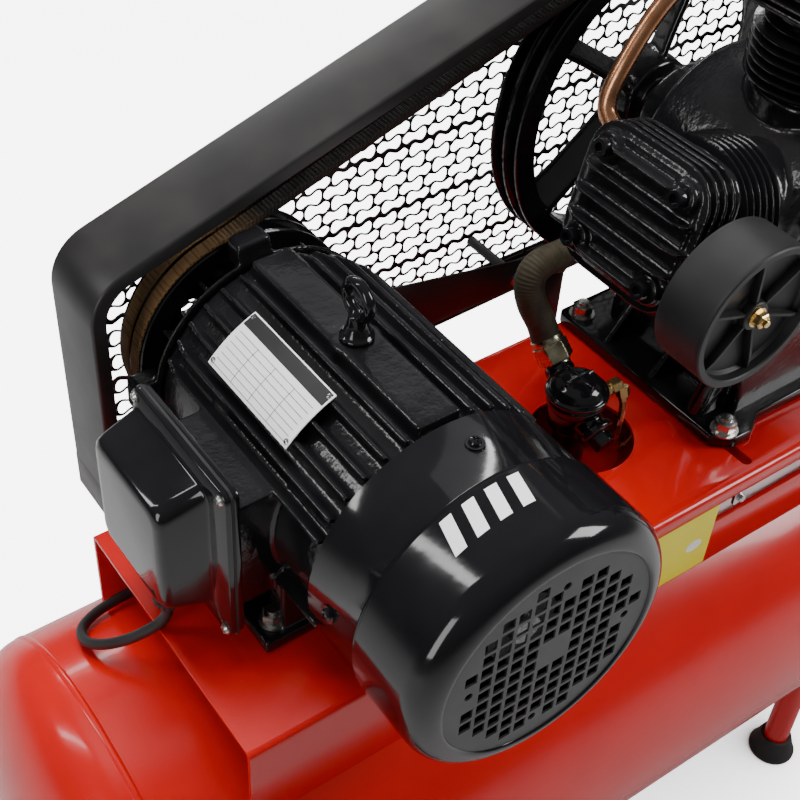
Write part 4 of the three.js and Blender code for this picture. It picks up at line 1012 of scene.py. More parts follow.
def clip(poly, border):
    """Keeps the part of a polygon inside a convex border that runs anticlockwise."""
    for (ax, az), (bx, bz) in zip(border, border[1:] + border[:1]):
        if not poly:
            return poly
        ex, ez = bx - ax, bz - az
        if ex * ex + ez * ez < 1e-9:
            continue
        kept = []
        for (px, pz), (qx, qz) in zip(poly, poly[1:] + poly[:1]):
            p_in = ex * (pz - az) - ez * (px - ax)
            q_in = ex * (qz - az) - ez * (qx - ax)
            if p_in >= 0:
                kept.append((px, pz))
            if (p_in >= 0) != (q_in >= 0):
                s = p_in / (p_in - q_in)
                kept.append((px + (qx - px) * s, pz + (qz - pz) * s))
        poly = kept
    return poly


def strand_height(row, x):
    """A strand bends between the bridges that meet it from below and from above."""
    below = SHIFT if (row - 1) % 2 else 0.0
    here = SHIFT if row % 2 else 0.0
    first, second = sorted((below, here))
    t = (x - first) % SLOT
    gap_width = second - first
    if t < gap_width:
        wave = -0.7 * math.sin(2 * math.pi * t / gap_width)
    else:
        wave = -1.7 * math.sin(2 * math.pi * (t - gap_width) / (SLOT - gap_width))
    return row * ROW + wave * (1 if row % 2 else -1)


def slot_outline(row, start, half=0.7, corner=5.2, count=22):
    """One slot: strand below, strand above, and round corners fitted to the height at each end."""
    low_half = 2.0 if row % 5 == 0 else half
    high_half = 2.0 if (row + 1) % 5 == 0 else half
    x0, x1 = start + half, start + SLOT - half

    def floor_at(x):
        return strand_height(row, x) + low_half

    def roof_at(x):
        return strand_height(row + 1, x) - high_half

    left = min(corner, (roof_at(x0) - floor_at(x0)) / 2 - 0.2)
    right = min(corner, (roof_at(x1) - floor_at(x1)) / 2 - 0.2)
    lower, upper = [], []
    for k in range(count + 1):
        x = (x0 + x1) / 2 - (x1 - x0) / 2 * math.cos(math.pi * k / count)
        rise = 0.0
        if x < x0 + left:
            rise = left - math.sqrt(max(left ** 2 - (x0 + left - x) ** 2, 0.0))
        elif x > x1 - right:
            rise = right - math.sqrt(max(right ** 2 - (x - x1 + right) ** 2, 0.0))
        lower.append((x, floor_at(x) + rise))
        upper.append((x, roof_at(x) - rise))
    return lower + upper[::-1]


border = [(a - CRANK_X, b - CRANK_Z) for a, b in guard_outline(15.0)]
slots = []
for row in range(-15, 16):
    for column in range(-22, 9):
        start = column * SLOT + (SHIFT if row % 2 else 0.0)
        outline = clip(slot_outline(row, start), border)
        if len(outline) > 3:
            area = abs(sum(a[0] * b[1] - b[0] * a[1] for a, b in
                           zip(outline, outline[1:] + outline[:1]))) / 2
            if area > 14.0:
                slots.append(outline)


rim = [(a - CRANK_X, b - CRANK_Z) for a, b in guard_outline(2.4)]
piece("guard_net", filled(rim, slots, 1.5, GUARD_Y1 - 3.0, (CRANK_X, CRANK_Z)), satin_black,
      hides="guard_mesh", sharp=50)
print("slots in the guard", len(slots))

# %% Guard bracket
low = PLATE + 41.0
bracket = [prism([(-96, low), (168, low), (168, low + 18), (-96, low + 72)], 150.2, 152.6)]
for x in (-90, 140):
    bracket.append(block(x - 13, x + 13, 150.2, 152.6, PLATE - 60, low + 4))
    bracket.append(block(x - 13, x + 13, 126.0, 152.6, PLATE - 60, PLATE - 31))
piece("guard_stay", bracket[0], satin_black, hides="guard_bracket", bevel=0.8)
piece("guard_posts", together(*bracket[1:]), satin_black, hides="guard_bracket",
      bevel=0.8)
bars = [rod(5, 150, 221.6, "y", (x, 0, low + 12), 24, 0.8) for x in (-60, 90)]
piece("guard_ties", together(*bars), satin_black, hides="guard_bracket")
bolts = [hex_screw((x, 150.0, z), "y", 10.0, 4.4, 8.0, -1) for x, z in
         ((-90, low + 14), (140, low + 8), (-60, low + 12), (90, low + 12))]
piece("guard_bolts", together(*bolts), zinc)

# %% [markdown]
# ## Drive
# Each pulley is a turned rim with two V-grooves, a web or spokes and a hub. The belts are wrapped
# ones; painted shade makes their cloth darker on the long runs than round the small pulley.

# %% Pulleys
GROOVES = (173.5, 190.5)


def grooved(radius, depth, inner):
    y0, y1 = 163.0, 201.0
    profile = [(inner, y0), (inner + 2, y0 - 0.0), (radius - 1, y0), (radius, y0 + 1)]
    for y in GROOVES:
        profile += [(radius, y - 7.4), (radius - 0.6, y - 6.9), (radius - depth, y - 5.2),
                    (radius - depth - 0.6, y - 4.4), (radius - depth - 0.6, y + 4.4),
                    (radius - depth, y + 5.2), (radius - 0.6, y + 6.9), (radius, y + 7.4)]
    profile += [(radius, y1 - 1), (radius - 1, y1), (inner + 2, y1), (inner, y1), (inner, y0)]
    return profile


piece("small_pulley_rim", revolve(grooved(100.0, 11.0, 82.0), "y", MOTOR, 96), smooth_cast,
      body="motor_rotor", hides="motor_pulley")
web = revolve([(12.4, 164), (30, 164), (31, 165), (33, 176), (80, 177), (83, 173), (83, 191),
               (80, 187), (33, 188), (31, 203), (30, 204), (12.4, 204), (12.4, 164)], "y", MOTOR,
              72)
vents = [rod(9, 160, 210, "y", around(60 * k + 20, 57, 0), 24) for k in range(6)]
piece("small_pulley_web", web, smooth_cast, body="motor_rotor",
      hides="motor_pulley", cuts=together(*vents), bevel=0.6)

CRANK = (CRANK_X, 0.0, CRANK_Z)
piece("flywheel_rim", revolve(grooved(168.0, 11.0, 147.0), "y", CRANK, 128), smooth_cast,
      body="crank", hides="flywheel")
wheel = [revolve([(20.4, 160), (36, 160), (38, 162), (40, 176), (40, 190), (38, 201), (36, 203),
                  (20.4, 203), (20.4, 160)], "y", CRANK, 64),
         revolve([(144, 168), (149, 165), (149, 199), (144, 196), (144, 168)], "y", CRANK, 96)]
for k in range(5):
    spoke = loft([[(x, y, z) for y, z in round_rect(3.6, h, 3.4, (0.0, 0.0), 3)]
                  for x, h in ((30, 19), (60, 17), (110, 16), (148, 18))])
    spoke = rotated(rotated(spoke, 62, "x"), 72 * k, "y")
    wheel.append(moved(spoke, CRANK_X, 182, CRANK_Z))
piece("flywheel_spokes", together(*wheel), smooth_cast, body="crank",
      hides="flywheel", cast=2.0, soften=3)
piece("shaft_ends", together(rod(19.8, 196, 205.5, "y", CRANK, 40, 1.2)), bright_steel,
      body="crank")
piece("motor_shaft_end", rod(11.8, 160, 207, "y", MOTOR, 32, 1.0), bright_steel,
      body="motor_rotor")

# %% Belts
def belt_outline(small, large, steps):
    dx, dz = CRANK_X - MOTOR_X, CRANK_Z - MOTOR_Z
    run = math.atan2(dz, dx)
    wrap = math.acos((small - large) / math.hypot(dx, dz))
    points = []
    for i in range(steps + 1):
        t = run + wrap + 2 * (math.pi - wrap) * i / steps
        points.append((MOTOR_X + small * math.cos(t), MOTOR_Z + small * math.sin(t)))
    last = points[-1]
    first_big = run - wrap
    target = (CRANK_X + large * math.cos(first_big), CRANK_Z + large * math.sin(first_big))
    points += [(last[0] + (target[0] - last[0]) * k / 12, last[1] + (target[1] - last[1]) * k / 12)
               for k in range(1, 12)]
    for i in range(steps + 1):
        t = run - wrap + 2 * wrap * i / steps
        points.append((CRANK_X + large * math.cos(t), CRANK_Z + large * math.sin(t)))
    last, target = points[-1], points[0]
    points += [(last[0] + (target[0] - last[0]) * k / 12, last[1] + (target[1] - last[1]) * k / 12)
               for k in range(1, 12)]
    return points


def belt_loop(y):
    section = [(0.9, -5.9), (0.2, -6.3), (-0.6, -6.2), (-8.4, -4.4), (-8.9, -3.8), (-8.9, 3.8),
               (-8.4, 4.4), (-0.6, 6.2), (0.2, 6.3), (0.9, 5.9)]
    loops = [belt_outline(100.0 + out, 168.0 + out, 56) for out, _ in section]
    rings = [[(loops[k][i][0], y + section[k][1], loops[k][i][1]) for k in range(len(section))]
             for i in range(len(loops[0]))]
    return loft(rings, closed=True)


piece("front_belt", belt_loop(GROOVES[0]), belt_cloth_painted_shade, hides="belt_front", sharp=60)
piece("rear_belt", belt_loop(GROOVES[1]), belt_cloth_painted_shade, hides="belt_rear", sharp=60)
print("guard and drive made")
# %% [markdown]
# ## Pump
# The pump's castings are fused skins too: the case, the ribbed feet, and one finned head for each
# cylinder. A head is a stack of rounded square fins on a core, with upright ribs on its face and
# four bosses for socket screws. Everything about a cylinder is drawn upright and then leaned over.

# %% Crankcase
LEAN = 76.0
CYLINDERS = {"left": (-LEAN, -13.0), "centre": (0.0, 2.0), "right": (LEAN, 17.0)}
BASE_X0, BASE_X1, BASE_Y0, BASE_Y1 = CRANK_X - 122, CRANK_X + 122, -93.0, 127.0


def leaned(shape, side):
    angle, y = CYLINDERS[side]
    return moved(rotated(shape, angle, "y"), CRANK_X, y, CRANK_Z)


foot_outline = [(BASE_X0 + 16, BASE_Y0), (BASE_X0 + 36, BASE_Y0), (BASE_X0 + 58, BASE_Y0 + 13),
                (BASE_X1 - 58, BASE_Y0 + 13), (BASE_X1 - 36, BASE_Y0), (BASE_X1 - 16, BASE_Y0),
                (BASE_X1, BASE_Y0 + 14), (BASE_X1, BASE_Y1 - 5), (BASE_X1 - 5, BASE_Y1),
                (BASE_X0 + 5, BASE_Y1), (BASE_X0, BASE_Y1 - 5), (BASE_X0, BASE_Y0 + 14)]
piece("pump_foot", prism(foot_outline, PLATE + 0.8, PLATE + 13, "xy"), gloss_black,
      hides="crankcase", bevel=2.2, rings=3)
case = [rod(92, -70, 98, "y", CRANK, 72, 6), rod(80, -74, -60, "y", CRANK, 64, 2),
        rod(58, -86, -60, "y", CRANK, 48, 4), rod(46, 90, 142, "y", CRANK, 48, 3),
        prism([(CRANK_X - 84, PLATE + 9), (CRANK_X + 84, PLATE + 9), (CRANK_X + 79, CRANK_Z),
               (CRANK_X - 79, CRANK_Z)], -68, 96)]
for side in CYLINDERS:
    case.append(leaned(rod(52, 70, 99, "z", (0, 0, 0), 48, 2), side))
for y in (-52, 8, 68):
    for s in (-1, 1):
        case.append(prism([(CRANK_X + s * 78, PLATE + 10), (CRANK_X + s * 117, PLATE + 10),
                           (CRANK_X + s * 112, PLATE + 16), (CRANK_X + s * 78, PLATE + 60)],
                          y - 4, y + 4))
for k in range(8):
    case.append(rod(9, -80, -60, "y", around(45 * k + 22.5, 72, 0, CRANK_X, CRANK_Z), 24, 1))
BORE_R, CHAMBER_R = 36.5, 68
bores = [leaned(rod(BORE_R, 24, 106, "z", (0, 0, 0), 48), side) for side in CYLINDERS]
bores.append(rod(CHAMBER_R, -56, 84, "y", CRANK, 56))
piece("pump_case", together(*case), cast_black, hides="crankcase", cast=2.4, soften=3,
      cuts=together(*bores))

# The lug beside the front left bolt is a tapered post cast on the foot.
post = loft([[(x, y, z) for x, y in round_rect(a, b, min(a, b) - 0.5, (px, py), 5)]
             for a, b, px, py, z in ((14, 9, 145, -47, PLATE + 9), (12.4, 8, 146, -47, PLATE + 20),
                                     (11, 7.4, 152, -48, PLATE + 44),
                                     (10, 7, 160, -48, PLATE + 68))])
piece("foot_post", post, smooth_cast, cast=1.4, soften=4)
bolts = [hex_screw((x, y, PLATE + 13.0), "z", 17.0, 9.0,
                   12.5) for x in (CRANK_X - 106, CRANK_X + 106)
         for y in (-79, 110)]
piece("pump_bolts", together(*bolts), zinc)
bolts = [hex_screw(around(45 * k + 22.5, 72, -80.0, CRANK_X, CRANK_Z), "y", 9.0, 3.6, 6.8, -1)
         for k in range(8)]
piece("case_screws", together(*bolts), zinc)
glass_at = (CRANK_X, -86.0, CRANK_Z - 34.0)
piece("sight_ring", together(revolve([(9, 0), (14, 0), (14, -5), (12, -7), (9, -7), (9, 0)], "y",
                                     glass_at, 32)), bright_steel)
piece("sight_glass", revolve([(0, 0), (9.4, 0), (9.4, -4.0), (6, -5.2), (0, -5.6)], "y", glass_at,
                             32),
      oil_amber)

# %% Cylinders, heads and screws
def rounded_slab(half, corner, z0, z1):
    return loft([[(x, y, z0) for x, y in round_rect(half - 0.8, half - 0.8, corner)],
                 [(x, y, z0 + 0.8) for x, y in round_rect(half, half, corner)],
                 [(x, y, z1 - 0.8) for x, y in round_rect(half, half, corner)],
                 [(x, y, z1) for x, y in round_rect(half - 0.8, half - 0.8, corner)]])


def finned_barrel():
    profile = [(33, 98.5), (48, 98.5), (48, 103), (44, 104)]
    for k in range(7):
        z = 106.5 + 8.2 * k
        tip = 60.0 if k < 6 else 54.0
        profile += [(43, z), (tip - 1, z + 0.3), (tip, z + 1.0), (tip, z + 1.8),
                    (tip - 1, z + 2.4),
                    (43, z + 2.9)]
    profile += [(44, 163), (50, 164), (50, 168.5), (33, 168.5), (33, 98.5)]
    return revolve(profile, "z", (0, 0, 0), 64)


def finned_head():
    parts = [rounded_slab(50, 22, 170.5, 214), rounded_slab(60, 28, 170.5, 176.0)]
    for z in (181.0, 190.5, 200.0, 209.5):
        parts.append(rounded_slab(64, 32, z, z + 3.0))
    parts.append(rounded_slab(55, 26, 209, 215))
    for x, long in ((-44, 40), (-22, 57), (0, 60), (22, 57), (44, 40)):
        side_view = [(-long, 213), (long, 213), (long - 2, 221), (long - 12, 227.2),
                     (-long + 12, 227.2), (-long + 2, 221)]
        parts.append(loft([[(x - 1.5, y0, z) for y0, z in side_view],
                           [(x + 1.5, y0, z) for y0, z in side_view]]))
    for sx in (-1, 1):
        for sy in (-1, 1):
            parts.append(rod(13, 172, 220, "z", (sx * 40.5, sy * 40.5, 0), 32, 1.5))
    return together(*parts)


def socket_screw(x, y, z):
    return revolve([(0, z + 5.6), (4.2, z + 5.6), (4.2, z + 9.4), (7.0, z + 9.4), (7.6, z + 8.6),
                    (7.6, z), (0, z)][::-1], "z", (x, y, 0), 24)


for side in CYLINDERS:
    piece(f"barrel_{side}", leaned(finned_barrel(), side), smooth_cast,
          hides=f"cylinder_{side}", sharp=40)
    piece(f"head_skin_{side}", leaned(finned_head(), side), cast_black,
          hides=f"head_{side}", cast=1.5, soften=2)
    screws = [leaned(socket_screw(sx * 40.5, sy * 40.5, 219.4),
                     side) for sx in (-1, 1) for sy in (-1, 1)]
    piece(f"head_screws_{side}", together(*screws), gloss_black, sharp=40)

# %% Air filters
def filter_can(r, front, at, body_name):
    x, y, z = at
    depth = 47.0
    shell = [(0, front + depth), (r - 3, front + depth), (r - 0.6, front + depth - 1.2),
             (r, front + depth - 3), (r, front + 5), (r + 0.6, front + 4), (r + 0.6, front + 1.2),
             (r - 0.4, front), (r - 5.2, front), (r - 6.2, front + 1.0), (r - 6.8, front + 7),
             (r - 9.5, front + 9.5), (15, front + 12.5), (12.6, front + 11), (12.2, front + 5),
             (11.4, front + 4), (0, front + 4)]
    piece(f"{body_name}_can", revolve(shell, "y", (x, y, z), 96), moulded_grey,
          hides=body_name)
    ribs = []
    for k in range(6):
        spoke = loft([[(a, front + b, -1.3) for a, b in ((10, 13), (r - 6, 13), (r - 6.4, 4.2),
                                                         (r - 16, 3.4), (12, 5.4))],
                      [(a, front + b, 1.3) for a, b in ((10, 13), (r - 6, 13), (r - 6.4, 4.2),
                                                        (r - 16, 3.4), (12, 5.4))]])
        ribs.append(moved(rotated(spoke, 60 * k + 22, "y"), x, y, z))
    piece(f"{body_name}_ribs", together(*ribs), moulded_grey, bevel=0.4)
    neck = revolve([(0, front + depth - 1), (15, front + depth - 1), (15, -65.5), (0, -65.5)], "y",
                   (x, y, z), 40)
    piece(f"{body_name}_neck", neck, smooth_cast, bevel=0.8)
    stud = together(revolve([(0, front + 4), (8.5, front + 4), (8.5, front + 2.8),
                             (0, front + 2.8)],
                            "y", (x, y, z), 28),
                    revolve([(0, front + 2.8), (6.8, front + 2.8), (6.8, front - 2.6),
                             (5.8, front - 3.6), (0, front - 3.6)], "y", (x, y, z), 6),
                    rod(3.2, front - 7.0, front - 2, "y", (x, y, z), 16, 0.6))
    piece(f"{body_name}_nut", stud, brass, sharp=28)


for side, radius, drop in (("left", 61.0, 14.5), ("centre", 46.0, 0.0), ("right", 46.0, 14.5)):
    angle, y = CYLINDERS[side]
    t = math.radians(angle)
    spot = (CRANK_X + math.sin(t) * 201, y, CRANK_Z + math.cos(t) * 201 - drop)
    filter_can(radius, -129.0, spot, f"air_filter_{side}")

# %% [markdown]
# ## Delivery line
# The hose's outer ply shows fine rings. Their depth is part of the tube itself: its radius rises
# and falls along the path. Nuts are hexagonal prisms with turned ends.

# %% Hose, head pipes and check valve
route = [(46, 42.1, PLATE + 54.6), (46.7, 46.3, PLATE + 57.4), (43, 55, PLATE + 70),
         (39, 60, PLATE + 86), (32, 67, PLATE + 105), (30, 72, PLATE + 121), (34, 75, PLATE + 133),
         (45, 76, PLATE + 140), (61, 75, PLATE + 141), (75, 71, PLATE + 146),
         (84, 65, PLATE + 155)]


def rings_of_hose(far):
    return 13.35 + 0.16 * math.cos(2 * math.pi * far / 2.6)


piece("hose_sleeve", tube(through(route, 520), rings_of_hose, 28), hose_rubber,
      hides="discharge_hose", sharp=80)


def along_way(shape, start, way):
    """Moves a shape drawn up +Z so that it points along a direction from a start point."""
    turn_it = Vector(way).to_track_quat("Z", "X").to_matrix()
    return [tuple(turn_it @ Vector(p) + Vector(start)) for p in shape[0]], shape[1]


nut_way = (-0.12, 0.66, 0.74)
nut = together(revolve([(0, -15), (11.5, -15), (11.5, -10), (0, -10)], "z", (0, 0, 0), 32),
               revolve([(0, -11), (15.2, -11), (16.6, -9.6), (16.6, 6.4), (15.2, 7.8), (0, 7.8)],
                       "z",
                       (0, 0, 0), 6),
               revolve([(0, 7.5), (14.6, 7.5), (14.6, 13), (13.8, 14), (0, 14)], "z", (0, 0, 0),
                       32))
piece("hose_nut", along_way(nut, (44.5, 47, PLATE + 61), nut_way), yellow_zinc,
      sharp=28,
      bevel=0.5)
elbow = through([(84, 65, PLATE + 153), (88, 61, PLATE + 162), (88, 52, PLATE + 172),
                 (84, 42, PLATE + 178), (80, 30, PLATE + 184)], 40)
piece("head_elbow", together(tube(elbow, 10, 20)), brass, sharp=60)
nut = revolve([(0, -6), (15, -6), (16, -5), (16, 7), (15, 8), (0, 8)], "z", (0, 0, 0), 6)
piece("hose_end_nut", along_way(nut, (84, 65, PLATE + 154), (0.4, -0.45, 0.8)), zinc,
      sharp=28, bevel=0.5)
for side, name in (("right", "b"), ("centre", "a")):
    if side == "centre":
        line = [(206, 44, CRANK_Z + 205), (180, 52, CRANK_Z + 207), (130, 60, CRANK_Z + 190),
                (90, 62, CRANK_Z + 140), (72, 58, CRANK_Z + 104), (70, 44, CRANK_Z + 92)]
    else:
        line = [(292, 44, CRANK_Z + 205), (330, 56, CRANK_Z + 207), (384, 66, CRANK_Z + 176),
                (418, 68, CRANK_Z + 130), (430, 66, CRANK_Z + 104), (432, 58, CRANK_Z + 92)]
    piece(f"head_pipe_{name}", tube(through(line, 90), 7.5, 16), copper, sharp=60)

VALVE = (40.0, 5.0)
cap = [(0, PLATE + 64), (8, PLATE + 63.2), (15, PLATE + 60.8), (20.5, PLATE + 56.8),
       (24.4, PLATE + 51.8), (25.0, PLATE + 49.6), (28.0, PLATE + 48.6), (28.4, PLATE + 46.6),
       (28.0, PLATE + 44.6), (24.4, PLATE + 43.2), (24.4, PLATE + 40.8), (26.0, PLATE + 39.6),
       (26.0, PLATE + 34.0), (23.0, PLATE + 31.0), (22.4, PLATE + 10), (15.4, PLATE + 6),
       (15.4, PLATE - 46), (0, PLATE - 46)]
stack = [revolve(cap, "z", (*VALVE, 0), 56)]
stack.append(block(VALVE[0] - 1.5, VALVE[0] + 1.5, VALVE[1] - 17, VALVE[1] + 17, PLATE + 54,
                   PLATE + 64.4))
stack.append(block(VALVE[0] - 16, VALVE[0] + 16, VALVE[1] - 1.5, VALVE[1] + 1.5, PLATE + 54,
                   PLATE + 64.4))
arm = revolve([(0, 0), (13.5, 0), (13.5, 36), (12, 40), (0, 40)], "z", (0, 0, 0), 40)
stack.append(along_way(arm, (*VALVE, PLATE + 28), (0.131, 0.828, 0.545)))
nose = revolve([(0, 0), (15.2, 0), (15.2, 24), (17.6, 25), (17.6, 30), (15, 31.6), (0, 31.6)], "z",
               (0, 0, 0), 40)
stack.append(along_way(nose, (VALVE[0], VALVE[1] - 2, PLATE + 24), (0.06, -0.93, -0.26)))
plug = revolve([(0, 31), (11, 31), (11, 40.6), (9.6, 42), (0, 42)], "z", (0, 0, 0), 6)
stack.append(along_way(plug, (VALVE[0], VALVE[1] - 2, PLATE + 24), (0.06, -0.93, -0.26)))
piece("valve_body", together(*stack), gloss_black, hides="check_valve", cast=0.9,
      soften=3)
piece("valve_stem", rod(9.6, TANK_Z + 181, PLATE - 44, "z", (*VALVE, 0), 24, 0.6), brass)
fitting = together(
    revolve([(0, 20), (6.4, 20), (6.4, 30), (0, 30)], "x", (VALVE[0], VALVE[1] - 8, PLATE + 40),
            6),
    revolve([(0, 29), (5, 29), (5, 33), (0, 33)], "x", (VALVE[0], VALVE[1] - 8, PLATE + 40), 20),
    revolve([(0, 32), (7.2, 32), (7.2, 42), (6.2, 43), (0, 43)], "x",
            (VALVE[0], VALVE[1] - 8, PLATE + 40), 6),
    along_way(revolve([(0, 0), (6.4, 0), (6.4, 9), (4.2, 10), (4.2, 14), (0, 14)], "z", (0, 0, 0),
                      6),
              (84.6, -6, PLATE + 38), (0.0, -0.35, -1.0)))
piece("vent_fitting", fitting, brass, sharp=28)
vent = through([(78.5, -3, PLATE + 40), (83, -3.4, PLATE + 39.6), (85, -6, PLATE + 34),
                (84, -12, PLATE + 18), (79, -16, PLATE), (79, -16, PLATE - 20),
                (90, -12, PLATE - 38), (120, 0, PLATE - 46), (200, 24, PLATE - 48),
                (300, 30, PLATE - 48), (390, 30, PLATE - 46), (412, 30, PLATE - 36),
                (416, 30, PLATE - 14), (416, 30, PLATE - 4)], 200)
piece("vent_pipe", tube(vent, 3.1, 14), copper, hides="unloader_tube")
print("pump and delivery line made")
# %% [markdown]
# ## Receiver, platform and running gear
# The platform is one sheet with bent edges, so its section has real bend radii. The receiver's
# shell gets its ring seams as raised beads and small welded pads where things are joined to it.

# %% Platform
PLATE_X0, PLATE_X1, HALF = -377.0, 400.0, 125.5
bend = []
for k in range(7):
    t = math.pi / 2 * k / 6
    bend.append((HALF - 6 + 6 * math.sin(t), PLATE - 6 + 6 * math.cos(t)))
outer = [(HALF, TANK_Z + 156.4)] + bend[::-1]
outer = outer + [(-y, z) for y, z in outer[::-1]]
inner_bend = [(HALF - 6 + 1.6 * math.sin(math.pi / 2 * k / 3),
               PLATE - 6 + 1.6 * math.cos(math.pi / 2 * k / 3))
              for k in range(4)]
inner = [(HALF - 4.4, TANK_Z + 159.8)] + inner_bend[::-1]
inner = inner + [(-y, z) for y, z in inner[::-1]]
sheet = prism(outer + inner[::-1], PLATE_X0, PLATE_X1, "yz")
holes = [rod(47.5, PLATE - 30, PLATE + 20, "z", (43, -5.5, 0), 96)]
for x in (CRANK_X - 106, CRANK_X + 106):
    for y in (-79, 110):
        high_y = min(y + 35, HALF - 7)
        holes.append(prism(round_rect(5, (high_y - y + 35) / 2, 4.9, (x, (high_y + y - 35) / 2),
                                      5),
                           PLATE - 30, PLATE + 20, "xy"))
holes.append(prism(round_rect(119, 12, 11.9, (211, PLATE - 28), 6), -HALF - 10, -HALF + 10, "xz"))
piece("platform_sheet", sheet, red_enamel, hides="platform", cuts=together(*holes),
      bevel=0.5, rings=2)
latch = together(prism(round_rect(8, 7, 2, (132, PLATE - 28), 3), -HALF + 3, -HALF + 5.4, "xz"),
                 rod(4, -HALF - 0.2, -HALF + 4, "y", (132, 0, PLATE - 28), 24, 0.8))
piece("slot_slide", latch, bright_steel)
piece("side_label", prism(round_rect(38.5, 38, 1.5, (61.5, PLATE - 54), 2), -HALF - 0.25,
                          -HALF + 0.4,
                          "xz"), yellow_film)
piece("label_dot", prism([(79 + 9.5 * math.cos(t * 0.196), PLATE - 57 + 6.5 * math.sin(t * 0.196))
                          for t in range(32)], -HALF - 0.42, -HALF, "xz"), white_print)

# %% Receiver
shell = []
for end in (-1, 1):
    arc = []
    for i in range(25):
        t = math.pi / 2 * i / 24
        arc.append((200 * math.sin(t) ** 0.82 if i else 0.0, end * (450 + 75 * math.cos(t))))
    shell += arc if end < 0 else arc[::-1]
beads = []
for x in (-446.0, 446.0):
    beads.append(revolve([(199, x - 4), (200.5, x - 2.6), (201, x), (200.5, x + 2.6), (199, x + 4),
                          (199, x - 4)], "x", (0, 0, TANK_Z), 160))
port = rod(10.4, TANK_Z + 150, TANK_Z + 260, "z", (*VALVE, 0), 40)
piece("receiver_skin", revolve(shell, "x", (0, 0, TANK_Z), 160), red_enamel,
      hides="tank_shell", cuts=port)
piece("ring_seams", together(*beads), red_enamel, sharp=60)
boss = together(revolve([(11, TANK_Z + 196), (21, TANK_Z + 196), (21, TANK_Z + 204),
                         (19, TANK_Z + 206.5),
                         (11, TANK_Z + 206.5), (11, TANK_Z + 196)], "z", (*VALVE, 0), 40))
piece("valve_boss", boss, red_enamel, bevel=0.6)
for k, side in enumerate((-1, 1)):
    plug_pad = revolve([(0, 0), (20, 0), (20, 5 * side), (18, 6.5 * side), (0, 6.5 * side)], "x",
                       (516 * side, 0, TANK_Z), 40)
    piece(f"end_boss_{k + 1}", plug_pad, red_enamel, bevel=0.5)


def strap(x0, x1, radius=200.2, thick=5.6, steps=40):
    """A half-round strap under the receiver, with rounded long edges."""
    rings = []
    for i in range(steps + 1):
        t = math.radians(197.5 + 145 * i / steps)
        ring = []
        for x, r in ((x0, radius), (x1, radius), (x1, radius + thick - 1),
                     (x1 - 1, radius + thick),
                     (x0 + 1, radius + thick), (x0, radius + thick - 1)):
            ring.append((x, r * math.cos(t), TANK_Z + r * math.sin(t)))
        rings.append(ring)
    return loft(rings)


WHEEL_X, WHEEL_Y, WHEEL_R = -300.0, 190.0, 100.0
LEG_X, LEG_Y = 330.0, 140.0
ears = []
for s in (-1, 1):
    ear = [(WHEEL_X - 28, TANK_Z - 152), (WHEEL_X - 26, 96)]
    ear += [(WHEEL_X + 20 * math.cos(math.pi + math.pi * k / 12),
             100 + 20 * math.sin(math.pi + math.pi * k / 12))
            for k in range(13)]
    ear += [(WHEEL_X + 26, 96), (WHEEL_X + 28, TANK_Z - 152)]
    ears.append(prism(ear, s * 120 - 3, s * 120 + 3, "xz"))
piece("axle_saddle", strap(WHEEL_X - 28, WHEEL_X + 28), red_enamel,
      hides="axle_bracket")
piece("axle_ears", together(*ears), red_enamel, hides="axle_bracket", bevel=1.0,
      cuts=rod(9.3, -200, 200, "y", (WHEEL_X, 0, WHEEL_R), 40))
piece("axle_bar", rod(9, -222, 222, "y", (WHEEL_X, 0, WHEEL_R), 40, 1.5), bright_steel,
      hides="axle")
pins = []
for s in (-1, 1):
    y = s * 218
    pins.append(rod(1.6, WHEEL_R - 15, WHEEL_R + 15, "z", (WHEEL_X, y, 0), 12))
    pins.append(revolve([(9.4, s * 214.6), (17, s * 214.6), (17, s * 216.2), (9.4, s * 216.2),
                         (9.4, s * 214.6)], "y", (WHEEL_X, 0, WHEEL_R), 40))
piece("axle_pins", together(*pins), zinc)

legs = [strap(LEG_X - 30, LEG_X + 30)]
piece("leg_saddle", legs[0], red_enamel, hides="leg_frame")
posts = [rod(14, 19, 186, "z", (LEG_X, s * LEG_Y, 0), 48, 0.5) for s in (-1, 1)]
piece("leg_posts", together(*posts), red_enamel, hides="leg_frame")
welds = [ring_bar((LEG_X, s * LEG_Y, 174.0), 14.4, 2.0, "xy", 40, 8) for s in (-1, 1)]
piece("leg_welds", together(*welds), red_enamel, sharp=80)

